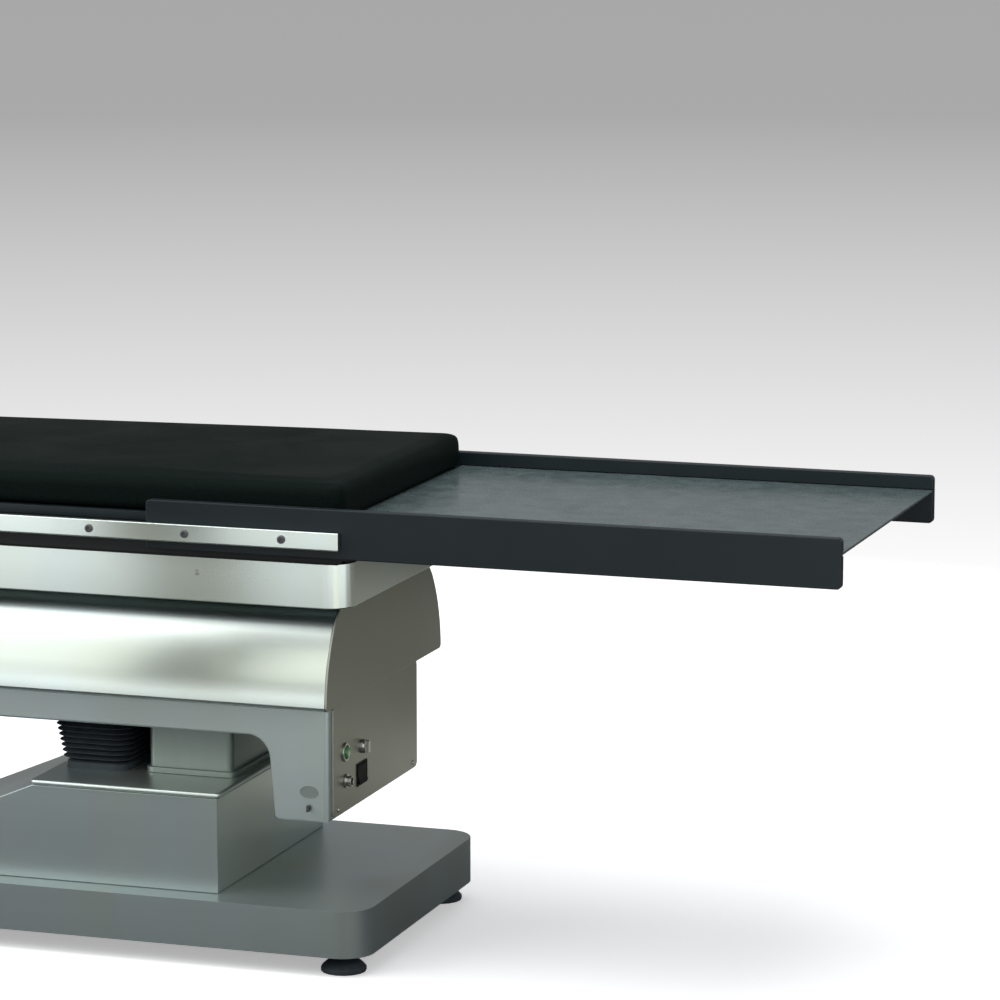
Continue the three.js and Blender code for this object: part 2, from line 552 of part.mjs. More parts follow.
function buildControls() {
  const face = SKIRT.end + SEAT;
  const front = face + PANEL.thick;
  const plate = alongX(
    rectangle(-PANEL.half, PANEL.bottom, PANEL.half, PANEL.top, PANEL.corner), face, front, 3);
  const rockerHole = rectangle(
    ROCKER.at[0] - ROCKER.halfY - CONTROL_GAP, ROCKER.at[1] - ROCKER.halfZ - CONTROL_GAP,
    ROCKER.at[0] + ROCKER.halfY + CONTROL_GAP, ROCKER.at[1] + ROCKER.halfZ + CONTROL_GAP);
  place('control_panel', cut(
    plate,
    rodX(...BUTTON.at, BUTTON.radius + CONTROL_GAP, face - CLEAR, front + CLEAR),
    rodX(...KEY_SWITCH.at, KEY_SWITCH.stem + CONTROL_GAP, face - CLEAR, front + CLEAR),
    alongX(rockerHole, face - CLEAR, front + CLEAR, 2)), 'satinSteel');

  const buttonTop = PANEL.thick + BUTTON.proud;
  const dome = [[0, -BUTTON.back], [BUTTON.radius, -BUTTON.back], [BUTTON.radius, PANEL.thick + BUTTON.rim],
    [BUTTON.radius * BUTTON.dome, buttonTop - BUTTON.dome], [0, buttonTop]];
  place('green_button', turned(dome).rotateY(Math.PI / 2).translate(face, ...BUTTON.at), 'greenLens');

  const { stem, back, rim, cap, chamfer } = KEY_SWITCH;
  const knob = [
    [0, -back], [stem, -back], [stem, PANEL.thick + SEAT], [KEY_SWITCH.radius, PANEL.thick + SEAT],
    [KEY_SWITCH.radius, PANEL.thick + rim], [KEY_SWITCH.radius - chamfer, PANEL.thick + cap],
    [0, PANEL.thick + cap]];
  const [wingWide, wingTall] = KEY_SWITCH.wing;
  const wing = box(PANEL.thick + cap - CLEAR, PANEL.thick + KEY_SWITCH.proud,
    -wingWide / 2, wingWide / 2, -wingTall / 2, wingTall / 2);
  place('key_switch', join(turned(knob).rotateY(Math.PI / 2), wing).translate(face, ...KEY_SWITCH.at),
    'machinedSteel');

  const rockerTop = new THREE.Shape();
  rockerTop.moveTo(-ROCKER.halfZ, -ROCKER.back);
  rockerTop.lineTo(ROCKER.halfZ, -ROCKER.back);
  rockerTop.lineTo(ROCKER.halfZ, PANEL.thick + ROCKER.proud);
  rockerTop.lineTo(0, PANEL.thick + ROCKER.dip);
  rockerTop.lineTo(-ROCKER.halfZ, PANEL.thick + ROCKER.low);
  rockerTop.closePath();
  const rocker = alongY(rockerTop, -ROCKER.halfY, ROCKER.halfY)
    .rotateY(Math.PI / 2).translate(face, ...ROCKER.at);
  place('rocker_switch', rocker, 'blackPlastic');

  const { radius, flange, flangeThick, wall, floor, proud } = SOCKET;
  const collar = [
    [0, SEAT], [flange, SEAT], [flange, flangeThick], [radius, flangeThick], [radius, proud],
    [radius - wall, proud], [radius - wall, floor], [0, floor]];
  place('handset_socket', turned(collar).rotateY(Math.PI / 2).translate(front, ...SOCKET.at), 'machinedSteel');

  const { seat, tab, length, sides } = EARTH_STUD;
  const studSeat = turned([[0, SEAT], [EARTH_STUD.radius, SEAT], [EARTH_STUD.radius, seat], [0, seat]], sides);
  const blade = box(-tab[0] / 2, tab[0] / 2, -tab[1] / 2, tab[1] / 2, seat - CLEAR, length);
  place('earth_stud', join(studSeat, blade).rotateX(Math.PI / 2)
    .translate(EARTH_STUD.x, -SKIRT.half, EARTH_STUD.z), 'castIron');
}

// Rolling saddle

function buildSaddle() {
  const { end, half, corner } = SADDLE;
  const outer = rectangle(-end, -half, end, half, corner);
  const inner = rectangle(-end + SHEET, -half + SHEET, end - SHEET, half - SHEET, corner - SHEET);
  place('saddle_cover', cut(
    alongZ(outer, SADDLE_BOTTOM, SADDLE_TOP, 5),
    alongZ(inner, SADDLE_BOTTOM - CLEAR, SADDLE_TOP - SHEET, 5)), 'brushedSteel');

  const beamTop = SADDLE_TOP - SHEET - SEAT;
  const beamBottom = beamTop - HANGER.beam;
  const hanger = new THREE.Shape();
  hanger.moveTo(HANGER.eye, ROLL_AXIS_Z);
  hanger.lineTo(HANGER.waistHalf, ROLL_AXIS_Z + HANGER.waistRise);
  hanger.lineTo(HANGER.topHalf, beamBottom + CLEAR);
  hanger.lineTo(-HANGER.topHalf, beamBottom + CLEAR);
  hanger.lineTo(-HANGER.waistHalf, ROLL_AXIS_Z + HANGER.waistRise);
  hanger.absarc(0, ROLL_AXIS_Z, HANGER.eye, Math.PI, Math.PI * 2);
  const beam = box(-HANGER.beamEnd, HANGER.beamEnd, -HANGER.beamHalf, HANGER.beamHalf, beamBottom, beamTop);
  const hangers = [-1, 1].map((sign) => alongX(
    hanger, sign * HANGER.x - HANGER.thick / 2, sign * HANGER.x + HANGER.thick / 2, 6));
  place('saddle_frame', cut(
    join(beam, ...hangers),
    rodX(0, ROLL_AXIS_Z, SHAFT.radius + SEAT, -HANGER.beamEnd, HANGER.beamEnd)), 'paintedSteel');
  place('roll_shaft', rodX(0, ROLL_AXIS_Z, SHAFT.radius, -SHAFT.end, SHAFT.end), 'machinedSteel');

  const { foot, neck, head, neckBottom, headBottom, top } = GUIDE;
  for (const [side, sign] of [['near', -1], ['far', 1]]) {
    const y = sign * GUIDE.y;
    const section = outline([
      [y - foot, SADDLE_TOP + SEAT], [y + foot, SADDLE_TOP + SEAT], [y + neck, neckBottom],
      [y + neck, headBottom], [y + head, headBottom], [y + head, top], [y - head, top], [y - head, headBottom],
      [y - neck, headBottom], [y - neck, neckBottom]]);
    place(`slide_guide_${side}`, alongX(section, -GUIDE.end, GUIDE.end), 'machinedSteel');
  }
}

// Sliding top

function crossOutline() {
  const { bottom, shoe, shoeBottom, relief, throat, play } = CROSS;
  const reach = HALF_TOP - FRAME_SIDE.thick - SEAT;
  const shoeAt = (y) => [
    [y - shoe, bottom], [y - shoe, shoeBottom], [y - GUIDE.foot - relief, shoeBottom],
    [y - GUIDE.neck - play, GUIDE.neckBottom + throat], [y - GUIDE.neck - play, GUIDE.headBottom - play],
    [y - GUIDE.head - play, GUIDE.headBottom - play], [y - GUIDE.head - play, GUIDE.top + play],
    [y + GUIDE.head + play, GUIDE.top + play], [y + GUIDE.head + play, GUIDE.headBottom - play],
    [y + GUIDE.neck + play, GUIDE.headBottom - play], [y + GUIDE.neck + play, GUIDE.neckBottom + throat],
    [y + GUIDE.foot + relief, shoeBottom], [y + shoe, shoeBottom], [y + shoe, bottom]];
  return outline([
    [-reach, bottom], ...shoeAt(-GUIDE.y), ...shoeAt(GUIDE.y), [reach, bottom],
    [reach, FRAME_SIDE.top], [-reach, FRAME_SIDE.top]]);
}

function buildTop() {
  const panelBottom = PANEL_TOP - PANEL_BOARD.thick;
  const side = outline([
    [TOP_LEFT, PANEL_TOP - PANEL_BOARD.deep, PANEL_BOARD.nose],
    [PANEL_BOARD.taperTo, PANEL_TOP - PANEL_BOARD.deep],
    [PANEL_BOARD.deepTo, panelBottom], [TOP_RIGHT, panelBottom], [TOP_RIGHT, PANEL_TOP],
    [TOP_LEFT, PANEL_TOP, PANEL_BOARD.nose]]);
  const plan = outline([
    [TOP_LEFT, -HALF_TOP, PANEL_BOARD.corner], [TOP_RIGHT, -HALF_TOP], [TOP_RIGHT, HALF_TOP],
    [TOP_LEFT, HALF_TOP, PANEL_BOARD.corner]]);
  place('top_panel', common(
    alongY(side, -HALF_TOP, HALF_TOP),
    alongZ(plan, PANEL_TOP - PANEL_BOARD.deep - CLEAR, PANEL_TOP + CLEAR)), 'laminate');

  for (const [i, x] of CROSS.x.entries()) {
    const name = ['left', 'middle', 'right'][i];
    place(`frame_cross_${name}`,
      alongX(crossOutline(), x - CROSS.thick / 2, x + CROSS.thick / 2), 'paintedSteel');
  }

  const railBottom = RAIL_TOP - RAIL.height;
  const spacerZ = RAIL_TOP - RAIL.height / 2;
  const railInner = HALF_RAIL - RAIL.thick;
  for (const [hand, sign] of [['near', -1], ['far', 1]]) {
    const span = (a, b) => (sign < 0 ? [-b, -a] : [a, b]);
    const [sideFrom, sideTo] = span(HALF_TOP - FRAME_SIDE.thick, HALF_TOP);
    place(`frame_side_${hand}`, alongX(
      rectangle(sideFrom, FRAME_SIDE.bottom, sideTo, FRAME_SIDE.top, FRAME_SIDE.round),
      FRAME_LEFT, TOP_RIGHT, 2), 'paintedSteel');
    const [railFrom, railTo] = span(railInner, HALF_RAIL);
    place(`side_rail_${hand}`, alongX(
      rectangle(railFrom, railBottom, railTo, RAIL_TOP, RAIL.edge), RAIL.left, RAIL.right, 2), 'brushedSteel');
    const [spacerFrom, spacerTo] = span(HALF_TOP + SEAT, railInner - SEAT);
    for (let i = 0; i < SPACER.count; i += 1) {
      place(`rail_spacer_${hand}_${i + 1}`, rodY(SPACER.first - i * SPACER.pitch, spacerZ, SPACER.radius,
        spacerFrom, spacerTo, SPACER.sides), 'machinedSteel');
    }
  }
}

// The mattress: a slab with rounded edges, a low crown, and long sides drawn in between the corners
function buildPad() {
  const bottom = PANEL_TOP + SEAT;
  const halfX = (PAD.right - PAD.left) / 2;
  const halfZ = (PAD_TOP - PAD.crown - bottom) / 2;
  const shape = new THREE.BoxGeometry(2, 2, 2, 24, 14, 6);
  const spot = shape.attributes.position;
  const point = new THREE.Vector3();
  const core = new THREE.Vector3();
  const half = new THREE.Vector3(halfX, HALF_PAD, halfZ);
  const eased = (t) => Math.sign(t) * (1 - (1 - Math.abs(t)) ** 2);
  for (let i = 0; i < spot.count; i += 1) {
    point.fromBufferAttribute(spot, i);
    point.set(eased(point.x), eased(point.y), point.z).multiply(half);
    core.copy(point).clamp(
      half.clone().subScalar(PAD.edge).negate(), half.clone().subScalar(PAD.edge));
    const away = point.clone().sub(core);
    if (away.length() > PAD.edge) point.copy(core).addScaledVector(away.normalize(), PAD.edge);
    const alongLength = 1 - (point.x / halfX) ** 4;
    const acrossWidth = 1 - (point.y / HALF_PAD) ** 4;
    if (point.z > 0) point.z += PAD.crown * alongLength * acrossWidth * (point.z / halfZ);
    point.y *= 1 - (PAD.drawIn / HALF_PAD) * alongLength;
    spot.setXYZ(i, point.x, point.y, Math.max(point.z, -halfZ));
  }
  shape.translate((PAD.left + PAD.right) / 2, 0, bottom + halfZ);
  shape.deleteAttribute('normal');
  shape.deleteAttribute('uv');
  place('mattress', mergeVertices(shape, 1e-3), 'vinyl');
}

// Pull-out leaf: forked side boards that straddle the rail spacers, and a tray let into them

function buildLeaf() {
  const spacerZ = RAIL_TOP - RAIL.height / 2;
  const slotHalf = BOARD.slotHeight / 2;
  const trayBottom = PANEL_TOP - TRAY.thick;
  const side = outline([
    [LEAF_START, BOARD.bottom, BOARD.corner], [LEAF_END, BOARD.bottom, BOARD.corner],
    [LEAF_END, BOARD.top, BOARD.corner], [LEAF_START, BOARD.top, BOARD.corner],
    [LEAF_START, spacerZ + slotHalf], [BOARD.slotEnd, spacerZ + slotHalf, slotHalf - CLEAR],
    [BOARD.slotEnd, spacerZ - slotHalf, slotHalf - CLEAR], [LEAF_START, spacerZ - slotHalf]]);
  for (const [name, sign] of [['near', -1], ['far', 1]]) {
    const [from, to] = sign < 0 ? [-BOARD.outer, -BOARD.inner] : [BOARD.inner, BOARD.outer];
    const [grooveFrom, grooveTo] = sign < 0
      ? [-BOARD.inner - TRAY.letIn, -BOARD.inner + CLEAR] : [BOARD.inner - CLEAR, BOARD.inner + TRAY.letIn];
    const groove = box(TRAY.left - CLEAR, LEAF_END + CLEAR, grooveFrom, grooveTo,
      trayBottom - SEAT, PANEL_TOP + SEAT);
    place(`leaf_board_${name}`, cut(alongY(side, from, to, 3), groove), 'laminate');
  }
  const trayHalf = BOARD.inner + TRAY.letIn - SEAT;
  const tray = rectangle(TRAY.left, -trayHalf, LEAF_END - TRAY.endGap, trayHalf, TRAY.corner);
  place('leaf_tray', alongZ(tray, trayBottom, PANEL_TOP, 2), 'composite');
  for (const [i, x] of TIE.x.entries()) {
    place(`leaf_tie_${i + 1}`,
      rodY(x, TIE.z, TIE.radius, -BOARD.inner + SEAT, BOARD.inner - SEAT, TIE.sides), 'laminate');
  }
}

buildBase();
buildColumn();
buildBellows();
buildHood();
buildHeadFrame();
buildSkirt();
buildControls();
buildSaddle();
buildTop();
buildPad();
buildLeaf();

export default table;
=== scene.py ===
"""Radiography table: finishes, padded top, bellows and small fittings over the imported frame."""

import contextlib
import json
import math

import bmesh
import bpy
from mathutils import Matrix, Vector


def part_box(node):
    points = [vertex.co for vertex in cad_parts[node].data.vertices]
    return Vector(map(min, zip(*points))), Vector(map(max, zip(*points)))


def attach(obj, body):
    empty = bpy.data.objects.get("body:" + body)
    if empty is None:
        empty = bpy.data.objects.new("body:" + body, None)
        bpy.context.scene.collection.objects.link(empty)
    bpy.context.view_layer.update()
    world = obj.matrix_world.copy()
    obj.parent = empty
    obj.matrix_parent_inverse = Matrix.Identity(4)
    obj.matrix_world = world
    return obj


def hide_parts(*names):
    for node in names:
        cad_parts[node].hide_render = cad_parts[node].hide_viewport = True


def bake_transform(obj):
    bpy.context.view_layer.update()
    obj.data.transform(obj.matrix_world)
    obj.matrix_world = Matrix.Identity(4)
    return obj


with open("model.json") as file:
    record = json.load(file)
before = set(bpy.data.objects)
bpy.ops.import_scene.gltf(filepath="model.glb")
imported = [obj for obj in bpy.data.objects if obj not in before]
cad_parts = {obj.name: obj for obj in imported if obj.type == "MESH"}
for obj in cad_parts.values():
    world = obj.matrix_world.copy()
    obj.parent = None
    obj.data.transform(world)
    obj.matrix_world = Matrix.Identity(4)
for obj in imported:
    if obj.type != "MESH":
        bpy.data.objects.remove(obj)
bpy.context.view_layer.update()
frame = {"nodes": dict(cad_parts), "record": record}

bl_info = {
    "name": "Radiography Table",
    "version": (1, 0, 0),
    "blender": (4, 5, 0),
    "location": "View3D > Sidebar > Radiography Table",
    "description": "Dresses a pedestal radiography table: steel covers, mattress, bellows, leaf and controls",
    "category": "Object",
}

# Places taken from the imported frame, in metres
SADDLE_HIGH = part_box("saddle_cover")[1]
RAIL_LOW, RAIL_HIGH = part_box("side_rail_near")
PANEL_LOW, PANEL_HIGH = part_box("control_panel")
SKIRT_LOW, SKIRT_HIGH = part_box("skirt_shell")
PAD_LOW, PAD_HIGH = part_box("mattress")
BELLOWS_LOW, BELLOWS_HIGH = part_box("bellows")
SOCKET_LOW, SOCKET_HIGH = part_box("handset_socket")
BUTTON_LOW, BUTTON_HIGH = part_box("green_button")
ROCKER_LOW, ROCKER_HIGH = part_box("rocker_switch")
BODY_OF = {
    node: body
    for body, nodes in frame["record"]["behaviour"]["bodies"].items()
    for node in nodes
}

# The finish of each material slot
SLOT_FINISHES = {
    "brushed_steel": "brushed steel", "satin_steel": "satin plate", "machined_steel": "machined steel",
    "painted_steel": "black paint", "cast_iron": "grey casting", "black_rubber": "black rubber",
    "black_vinyl": "mattress vinyl", "dark_laminate": "dark laminate",
    "grey_composite": "grey composite", "green_lens": "green lens", "black_plastic": "black moulding",
}

# Working tolerances, in metres and degrees
LEVEL = 1e-4
MERGE_DISTANCE = 1e-5
FLAT_ANGLE = 0.6
SHARP_ANGLE = 32
SMOOTH_ANGLE = 40

# Mattress: lengths in metres, then shares, the pressure that swells it and its frames
PAD_UNDER_EDGE = 0.008
PAD_HELD = 0.009
PAD_BAND = 0.022
PAD_CROWN = 0.003
PAD_HEADROOM = 0.002
PAD_DRAW_IN = 0.006
PAD_EDGE_HOLD = 0.97
PAD_PRESSURE = 4.0
PAD_FRAMES = 20

# Bellows, in metres
BELLOWS_CORNER = 0.024
BELLOWS_WALL = 0.0016
BELLOWS_RIM = 0.004
FLANGE_FOOT = 0.0015
FLANGE_INSET = 0.002
PLEAT_CREST = 0.001

# Places and sizes of small fittings, in metres
RAIL_SCREWS = 5
SMALL_SCREW = 0.0035
SADDLE_SCREW_X, SADDLE_SCREW_Z = 0.165, 0.554
PANEL_SCREW_Y, PANEL_SCREW_RISE = 0.156, 0.008
ROCKER_GAP = 0.0006
SOCKET_FLOOR = 0.0032
OVAL_X, OVAL_Z = 0.317, 0.2457

# Colours in linear light, and how far the roughness of a metal varies
WHITE = (1, 1, 1, 1)
WARM_WHITE = (1.0, 0.98, 0.88, 1)
COOL_WHITE = (0.86, 0.97, 1.0, 1)
WARM_TINT = (0.99, 0.96, 0.89, 1)
# Dull steel colour of the painted shade on the hood under the saddle
PAINTED_SHADE_STEEL = (0.30, 0.345, 0.35, 1)
METAL_SPREAD = 0.03

# Cards: name, colour, centre, size, lean in degrees, axis of the glow and its stops of (place, strength)
CARDS = (
    ("dark_card", WARM_WHITE, (1.5, 0.75, 0.31), (2.6, 0.62), 90, "Z",
     ((0.0, 0.80), (0.08, 0.68), (0.16, 0.14), (0.31, 0.32), (0.42, 0.08))),
    ("low_bright_card", WARM_WHITE, (-0.8, -2.0, 0.58), (2.8, 0.26), 90, "X",
     ((-1.15, 1.00), (-0.65, 0.85), (-0.30, 0.30))),
    ("bright_card", WARM_WHITE, (-0.8, -2.0, 1.26), (2.8, 1.10), 90, "X",
     ((-1.15, 1.40), (-0.65, 1.20), (-0.30, 1.25))),
    ("gap_card", WARM_WHITE, (-0.12, -0.9, 0.83), (0.19, 0.94), 90, "Z",
     ((0.36, 0.55), (0.43, 0.55), (0.50, 0.12), (1.3, 0.12))),
    ("floor_card", COOL_WHITE, (0.06, -1.5, 0.002), (0.6, 0.7), 0, "Y", ((-1.9, 0.50), (-1.2, 0.50))),
    ("corner_card", WARM_WHITE, (1.25, -1.0, 0.2), (0.8, 0.4), 90, "X", ((0.85, 1.1), (1.65, 1.1))),
)

# Lamps: name, place, aim, size and power in watts
LAMPS = (
    ("front left softbox", (-2.95, -2.1, 2.45), (-0.4, -0.1, 0.45), (3.3, 3.6), 82),
    ("overhead softbox", (0.4, -0.3, 3.6), (0.3, 0.0, 0.5), (3.2, 2.4), 70),
    ("front softbox", (0.9, -3.2, 2.7), (0.2, 0.0, 0.45), (2.4, 2.2), 4),
    ("right fill", (3.6, -2.2, 2.2), (0.5, 0.0, 0.4), (1.6, 1.6), 20),
)

# Floor: radii in metres, and the greys that reflections see from its middle to the edge of the pool, a
# painted pool of light
FLOOR_GLOW, FLOOR_POOL, FLOOR_FADE, FLOOR_EDGE = 0.9, 1.2, 2.4, 3.2
FLOOR_PAINTED_POOL = ((0.0, 0.11), (0.50, 0.11), (0.80, 0.02), (1.0, 0.02))

# World: its even light, and the spans in Z and the greys of the backdrop and of the room in front
WORLD_COLOUR = (0.92, 0.96, 1.0, 1)
WORLD_STRENGTH = 0.38
BACKDROP_SPAN, ROOM_SPAN = (-0.25, 0.25), (-0.25, 0.75)
BACKDROP_GREYS = ((0.0, 1.0), (0.13, 1.0), (0.34, 0.40), (0.46, 0.38), (0.60, 0.36), (1.0, 0.27))
ROOM_GREYS = ((0.0, 1.0), (0.23, 1.0), (0.31, 0.50), (0.55, 0.50), (0.85, 0.42), (1.0, 0.36))
ROOM_GLARE = 0.66

# Camera of the photo: metres, degrees and millimetres
CAMERA_PLACE = (2.46514, -5.8013, 1.67378)
CAMERA_AZIMUTH, CAMERA_ELEVATION = 18.39, 9.59
CAMERA_LENS, CAMERA_SENSOR = 159.08, 36


class RADIOTABLE_PG_sizes(bpy.types.PropertyGroup):
    """Sizes of the dressed pieces that a user may change"""

    pad_edge: bpy.props.FloatProperty(
        name="Pad Edge", description="Rounding of the mattress edges before it swells",
        default=0.013, unit="LENGTH")
    pad_corner: bpy.props.FloatProperty(
        name="Pad Corner", description="Rounding of the upright corners of the mattress",
        default=0.014, unit="LENGTH")
    pad_rise: bpy.props.FloatProperty(
        name="Pad Rise", description="How much thicker the mattress is at the leaf end than at its middle",
        default=0.010, unit="LENGTH")
    pad_overhang: bpy.props.FloatProperty(
        name="Pad Overhang", description="How far the mattress stands out over its panel at the leaf end",
        default=0.008, unit="LENGTH")
    pad_start: bpy.props.FloatProperty(
        name="Pad Start", description="How far the mattress starts inside its full size",
        default=0.001, unit="LENGTH")
    pad_swell: bpy.props.FloatProperty(
        name="Pad Swell", description="Most that a point of the mattress may move as it swells",
        default=0.0040, unit="LENGTH")
    pad_voxel: bpy.props.FloatProperty(
        name="Pad Voxel", description="Mesh spacing of the mattress while it swells",
        default=0.0085, unit="LENGTH")
    pleats: bpy.props.IntProperty(
        name="Pleats", description="Number of folds in the bellows", default=12)
    pleat_depth: bpy.props.FloatProperty(
        name="Pleat Depth", description="Depth of a fold in the bellows", default=0.012, unit="LENGTH")
    bellows_flange: bpy.props.FloatProperty(
        name="Bellows Flange", description="Height of the plain band at the foot of the bellows",
        default=0.012, unit="LENGTH")
    bellows_flare: bpy.props.FloatProperty(
        name="Bellows Flare", description="How much the bellows widens on each side towards the top",
        default=0.018, unit="LENGTH")
    screw_radius: bpy.props.FloatProperty(
        name="Screw Radius", description="Radius of the rail screw heads", default=0.0058, unit="LENGTH")
    screw_pitch: bpy.props.FloatProperty(
        name="Screw Pitch", description="Distance between the rail screws", default=0.142, unit="LENGTH")
    screw_first: bpy.props.FloatProperty(
        name="First Screw", description="Place of the rightmost rail screw along the table",
        default=0.318, unit="LENGTH")


class RADIOTABLE_PG_colours(bpy.types.PropertyGroup):
    """Colours of the finishes, in linear light"""

    steel: bpy.props.FloatVectorProperty(
        name="Brushed Steel", description="Stainless covers and rails", subtype="COLOR", size=4,
        default=(0.69, 0.785, 0.775, 1))
    satin: bpy.props.FloatVectorProperty(
        name="Satin Steel", description="Skirt and leg", subtype="COLOR", size=4,
        default=(0.59, 0.69, 0.70, 1))
    base: bpy.props.FloatVectorProperty(
        name="Base Steel", description="Tower and deck of the base", subtype="COLOR", size=4,
        default=(0.45, 0.53, 0.535, 1))
    plate: bpy.props.FloatVectorProperty(
        name="Satin Plate", description="End plates and control panel", subtype="COLOR", size=4,
        default=(0.41, 0.44, 0.405, 1))
    # Satin steel colour of the housing, darkened as painted shade of the head above it
    housing: bpy.props.FloatVectorProperty(
        name="Satin Housing", description="Upright housing beside the bellows", subtype="COLOR", size=4,
        default=(0.31, 0.375, 0.37, 1))
    machined: bpy.props.FloatVectorProperty(
        name="Machined Steel", description="Turned and ground parts", subtype="COLOR", size=4,
        default=(0.55, 0.56, 0.56, 1))
    paint: bpy.props.FloatVectorProperty(
        name="Black Paint", description="Frame members", subtype="COLOR", size=4,
        default=(0.020, 0.022, 0.024, 1))
    casting: bpy.props.FloatVectorProperty(
        name="Grey Casting", description="Cast housings", subtype="COLOR", size=4,
        default=(0.10, 0.105, 0.11, 1))
    rubber: bpy.props.FloatVectorProperty(
        name="Rubber", description="Bellows and feet", subtype="COLOR", size=4,
        default=(0.045, 0.058, 0.066, 1))
    vinyl: bpy.props.FloatVectorProperty(
        name="Mattress Vinyl", description="Coated fabric of the mattress", subtype="COLOR", size=4,
        default=(0.0050, 0.0092, 0.0080, 1))
    laminate: bpy.props.FloatVectorProperty(
        name="Dark Laminate", description="Side boards and top panel", subtype="COLOR", size=4,
        default=(0.012, 0.020, 0.024, 1))
    composite: bpy.props.FloatVectorProperty(
        name="Grey Composite", description="Leaf tray", subtype="COLOR", size=4,
        default=(0.085, 0.115, 0.118, 1))
    lens: bpy.props.FloatVectorProperty(
        name="Green Lens", description="Push button", subtype="COLOR", size=4,
        default=(0.05, 0.32, 0.08, 1))
    moulding: bpy.props.FloatVectorProperty(
        name="Black Moulding", description="Rocker, bezels and insulators", subtype="COLOR", size=4,
        default=(0.006, 0.006, 0.0065, 1))


# Hand work shared by the operators

def clear_selection():
    if bpy.context.object and bpy.context.object.mode != "OBJECT":
        bpy.ops.object.mode_set(mode="OBJECT")
    bpy.ops.object.select_all(action="DESELECT")


def pick(*objects):
    clear_selection()
    for obj in objects:
        obj.select_set(True)
    bpy.context.view_layer.objects.active = objects[0]


def name_new(name):
    obj = bpy.context.object
    obj.name = name
    obj.data.name = name
    return obj


@contextlib.contextmanager
def editing(obj):
    """Edit mode on one object, with all of its mesh selected at the start."""
    pick(obj)
    bpy.ops.object.mode_set(mode="EDIT")
    bpy.ops.mesh.select_all(action="SELECT")
    yield
    bpy.ops.object.mode_set(mode="OBJECT")


def select_faces_up(obj):
    """Selects the faces of the mesh in edit mode that look up."""
    bpy.ops.mesh.select_mode(type="FACE")
    bpy.ops.mesh.select_all(action="DESELECT")
    for face in bmesh.from_edit_mesh(obj.data).faces:
        face.select_set(face.normal.z > 0.9)
    bmesh.update_edit_mesh(obj.data)


def select_edges(obj, wanted):
    """Selects the edges of the mesh in edit mode for which wanted(edge) is true."""
    bpy.ops.mesh.select_mode(type="EDGE")
    bpy.ops.mesh.select_all(action="DESELECT")
    for edge in bmesh.from_edit_mesh(obj.data).edges:
        edge.select_set(bool(wanted(edge)))
    bmesh.update_edit_mesh(obj.data)


def apply_modifiers(obj):
    pick(obj)
    for modifier in list(obj.modifiers):
        bpy.ops.object.modifier_apply(modifier=modifier.name)


def add_subdivision(obj, name, levels):
    fine = obj.modifiers.new(name, "SUBSURF")
    fine.levels = levels
    fine.render_levels = levels


def round_edges(obj, radius, segments=2):
    """Rounds the sharp edges of a piece and gives its flat faces flat shading."""
    if radius > 0:
        bevel = obj.modifiers.new("Edge rounding", "BEVEL")
        bevel.limit_method = "ANGLE"
        bevel.angle_limit = math.radians(SHARP_ANGLE)
        bevel.width = radius
        bevel.segments = segments
        apply_modifiers(obj)
    pick(obj)
    bpy.ops.object.shade_smooth_by_angle(angle=math.radians(SMOOTH_ANGLE))
    even = obj.modifiers.new("Even shading", "WEIGHTED_NORMAL")
    even.keep_sharp = True
    apply_modifiers(obj)
    return obj


def settle(obj):
    """Puts the place of a piece into its mesh, so that its object sits at the origin."""
    pick(obj)
    bpy.ops.object.transform_apply(location=True, rotation=True, scale=True)
    return obj


def finish_piece(obj, material, body):
    obj.data.materials.clear()
    obj.data.materials.append(bpy.data.materials[material])
    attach(obj, body)


def copy_node(node):
    """A copy of a frame node with its triangles merged back into whole faces."""
    copy = bpy.data.objects.new(node + "_finished", frame["nodes"][node].data.copy())
    copy.data.name = copy.name
    bpy.context.scene.collection.objects.link(copy)
    with editing(copy):
        bpy.ops.mesh.remove_doubles(threshold=MERGE_DISTANCE)
        bpy.ops.mesh.dissolve_limited(angle_limit=math.radians(FLAT_ANGLE))
    return copy


def stand_for(node, copy, material):
    finish_piece(copy, material, BODY_OF[node])
    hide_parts(node)


def rounded_nodes(table, material):
    """Replaces each node of the table, which gives (radius, segments), by a copy with rounded edges."""
    for node, (radius, segments) in table.items():
        copy = copy_node(node)
        round_edges(copy, radius, segments)
        stand_for(node, copy, material)


def repeated(model, name, places, material, body):
    """Copies one modelled piece to each place, a 4x4 matrix, and joins the copies into one object."""
    copies = []
    for place in places:
        copy = bpy.data.objects.new(name, model.data.copy())
        copy.data.transform(place)
        bpy.context.scene.collection.objects.link(copy)
        copies.append(copy)
    pick(*copies)
    if len(copies) > 1:
        bpy.ops.object.join()
    joined = name_new(name)
    bpy.data.objects.remove(model)
    finish_piece(joined, material, body)


def middle(low, high):
    return (Vector(low) + Vector(high)) / 2


def facing(place, axis):
    """A matrix that puts a piece modelled along +Z at a place, pointing along an axis."""
    turn = Vector((0, 0, 1)).rotation_difference(Vector(axis)).to_matrix().to_4x4()
    return Matrix.Translation(place) @ turn


def model_plane(name, size_x, size_y, place=(0, 0, 0), lean=0):
    """A flat rectangle, turned about X by its lean in degrees."""
    clear_selection()
    bpy.ops.mesh.primitive_plane_add(size=1, location=place, rotation=(math.radians(lean), 0, 0))
    plane = name_new(name)
    plane.scale = (size_x, size_y, 1)
    return settle(plane)


def raise_flat(obj, height, edge):
    """Gives a flat outline its height, and rounds the edges."""
    with editing(obj):
        bpy.ops.mesh.extrude_region_move(TRANSFORM_OT_translate={"value": (0, 0, height)})
        bpy.ops.mesh.select_all(action="SELECT")
        bpy.ops.mesh.normals_make_consistent(inside=False)
    return round_edges(obj, edge)


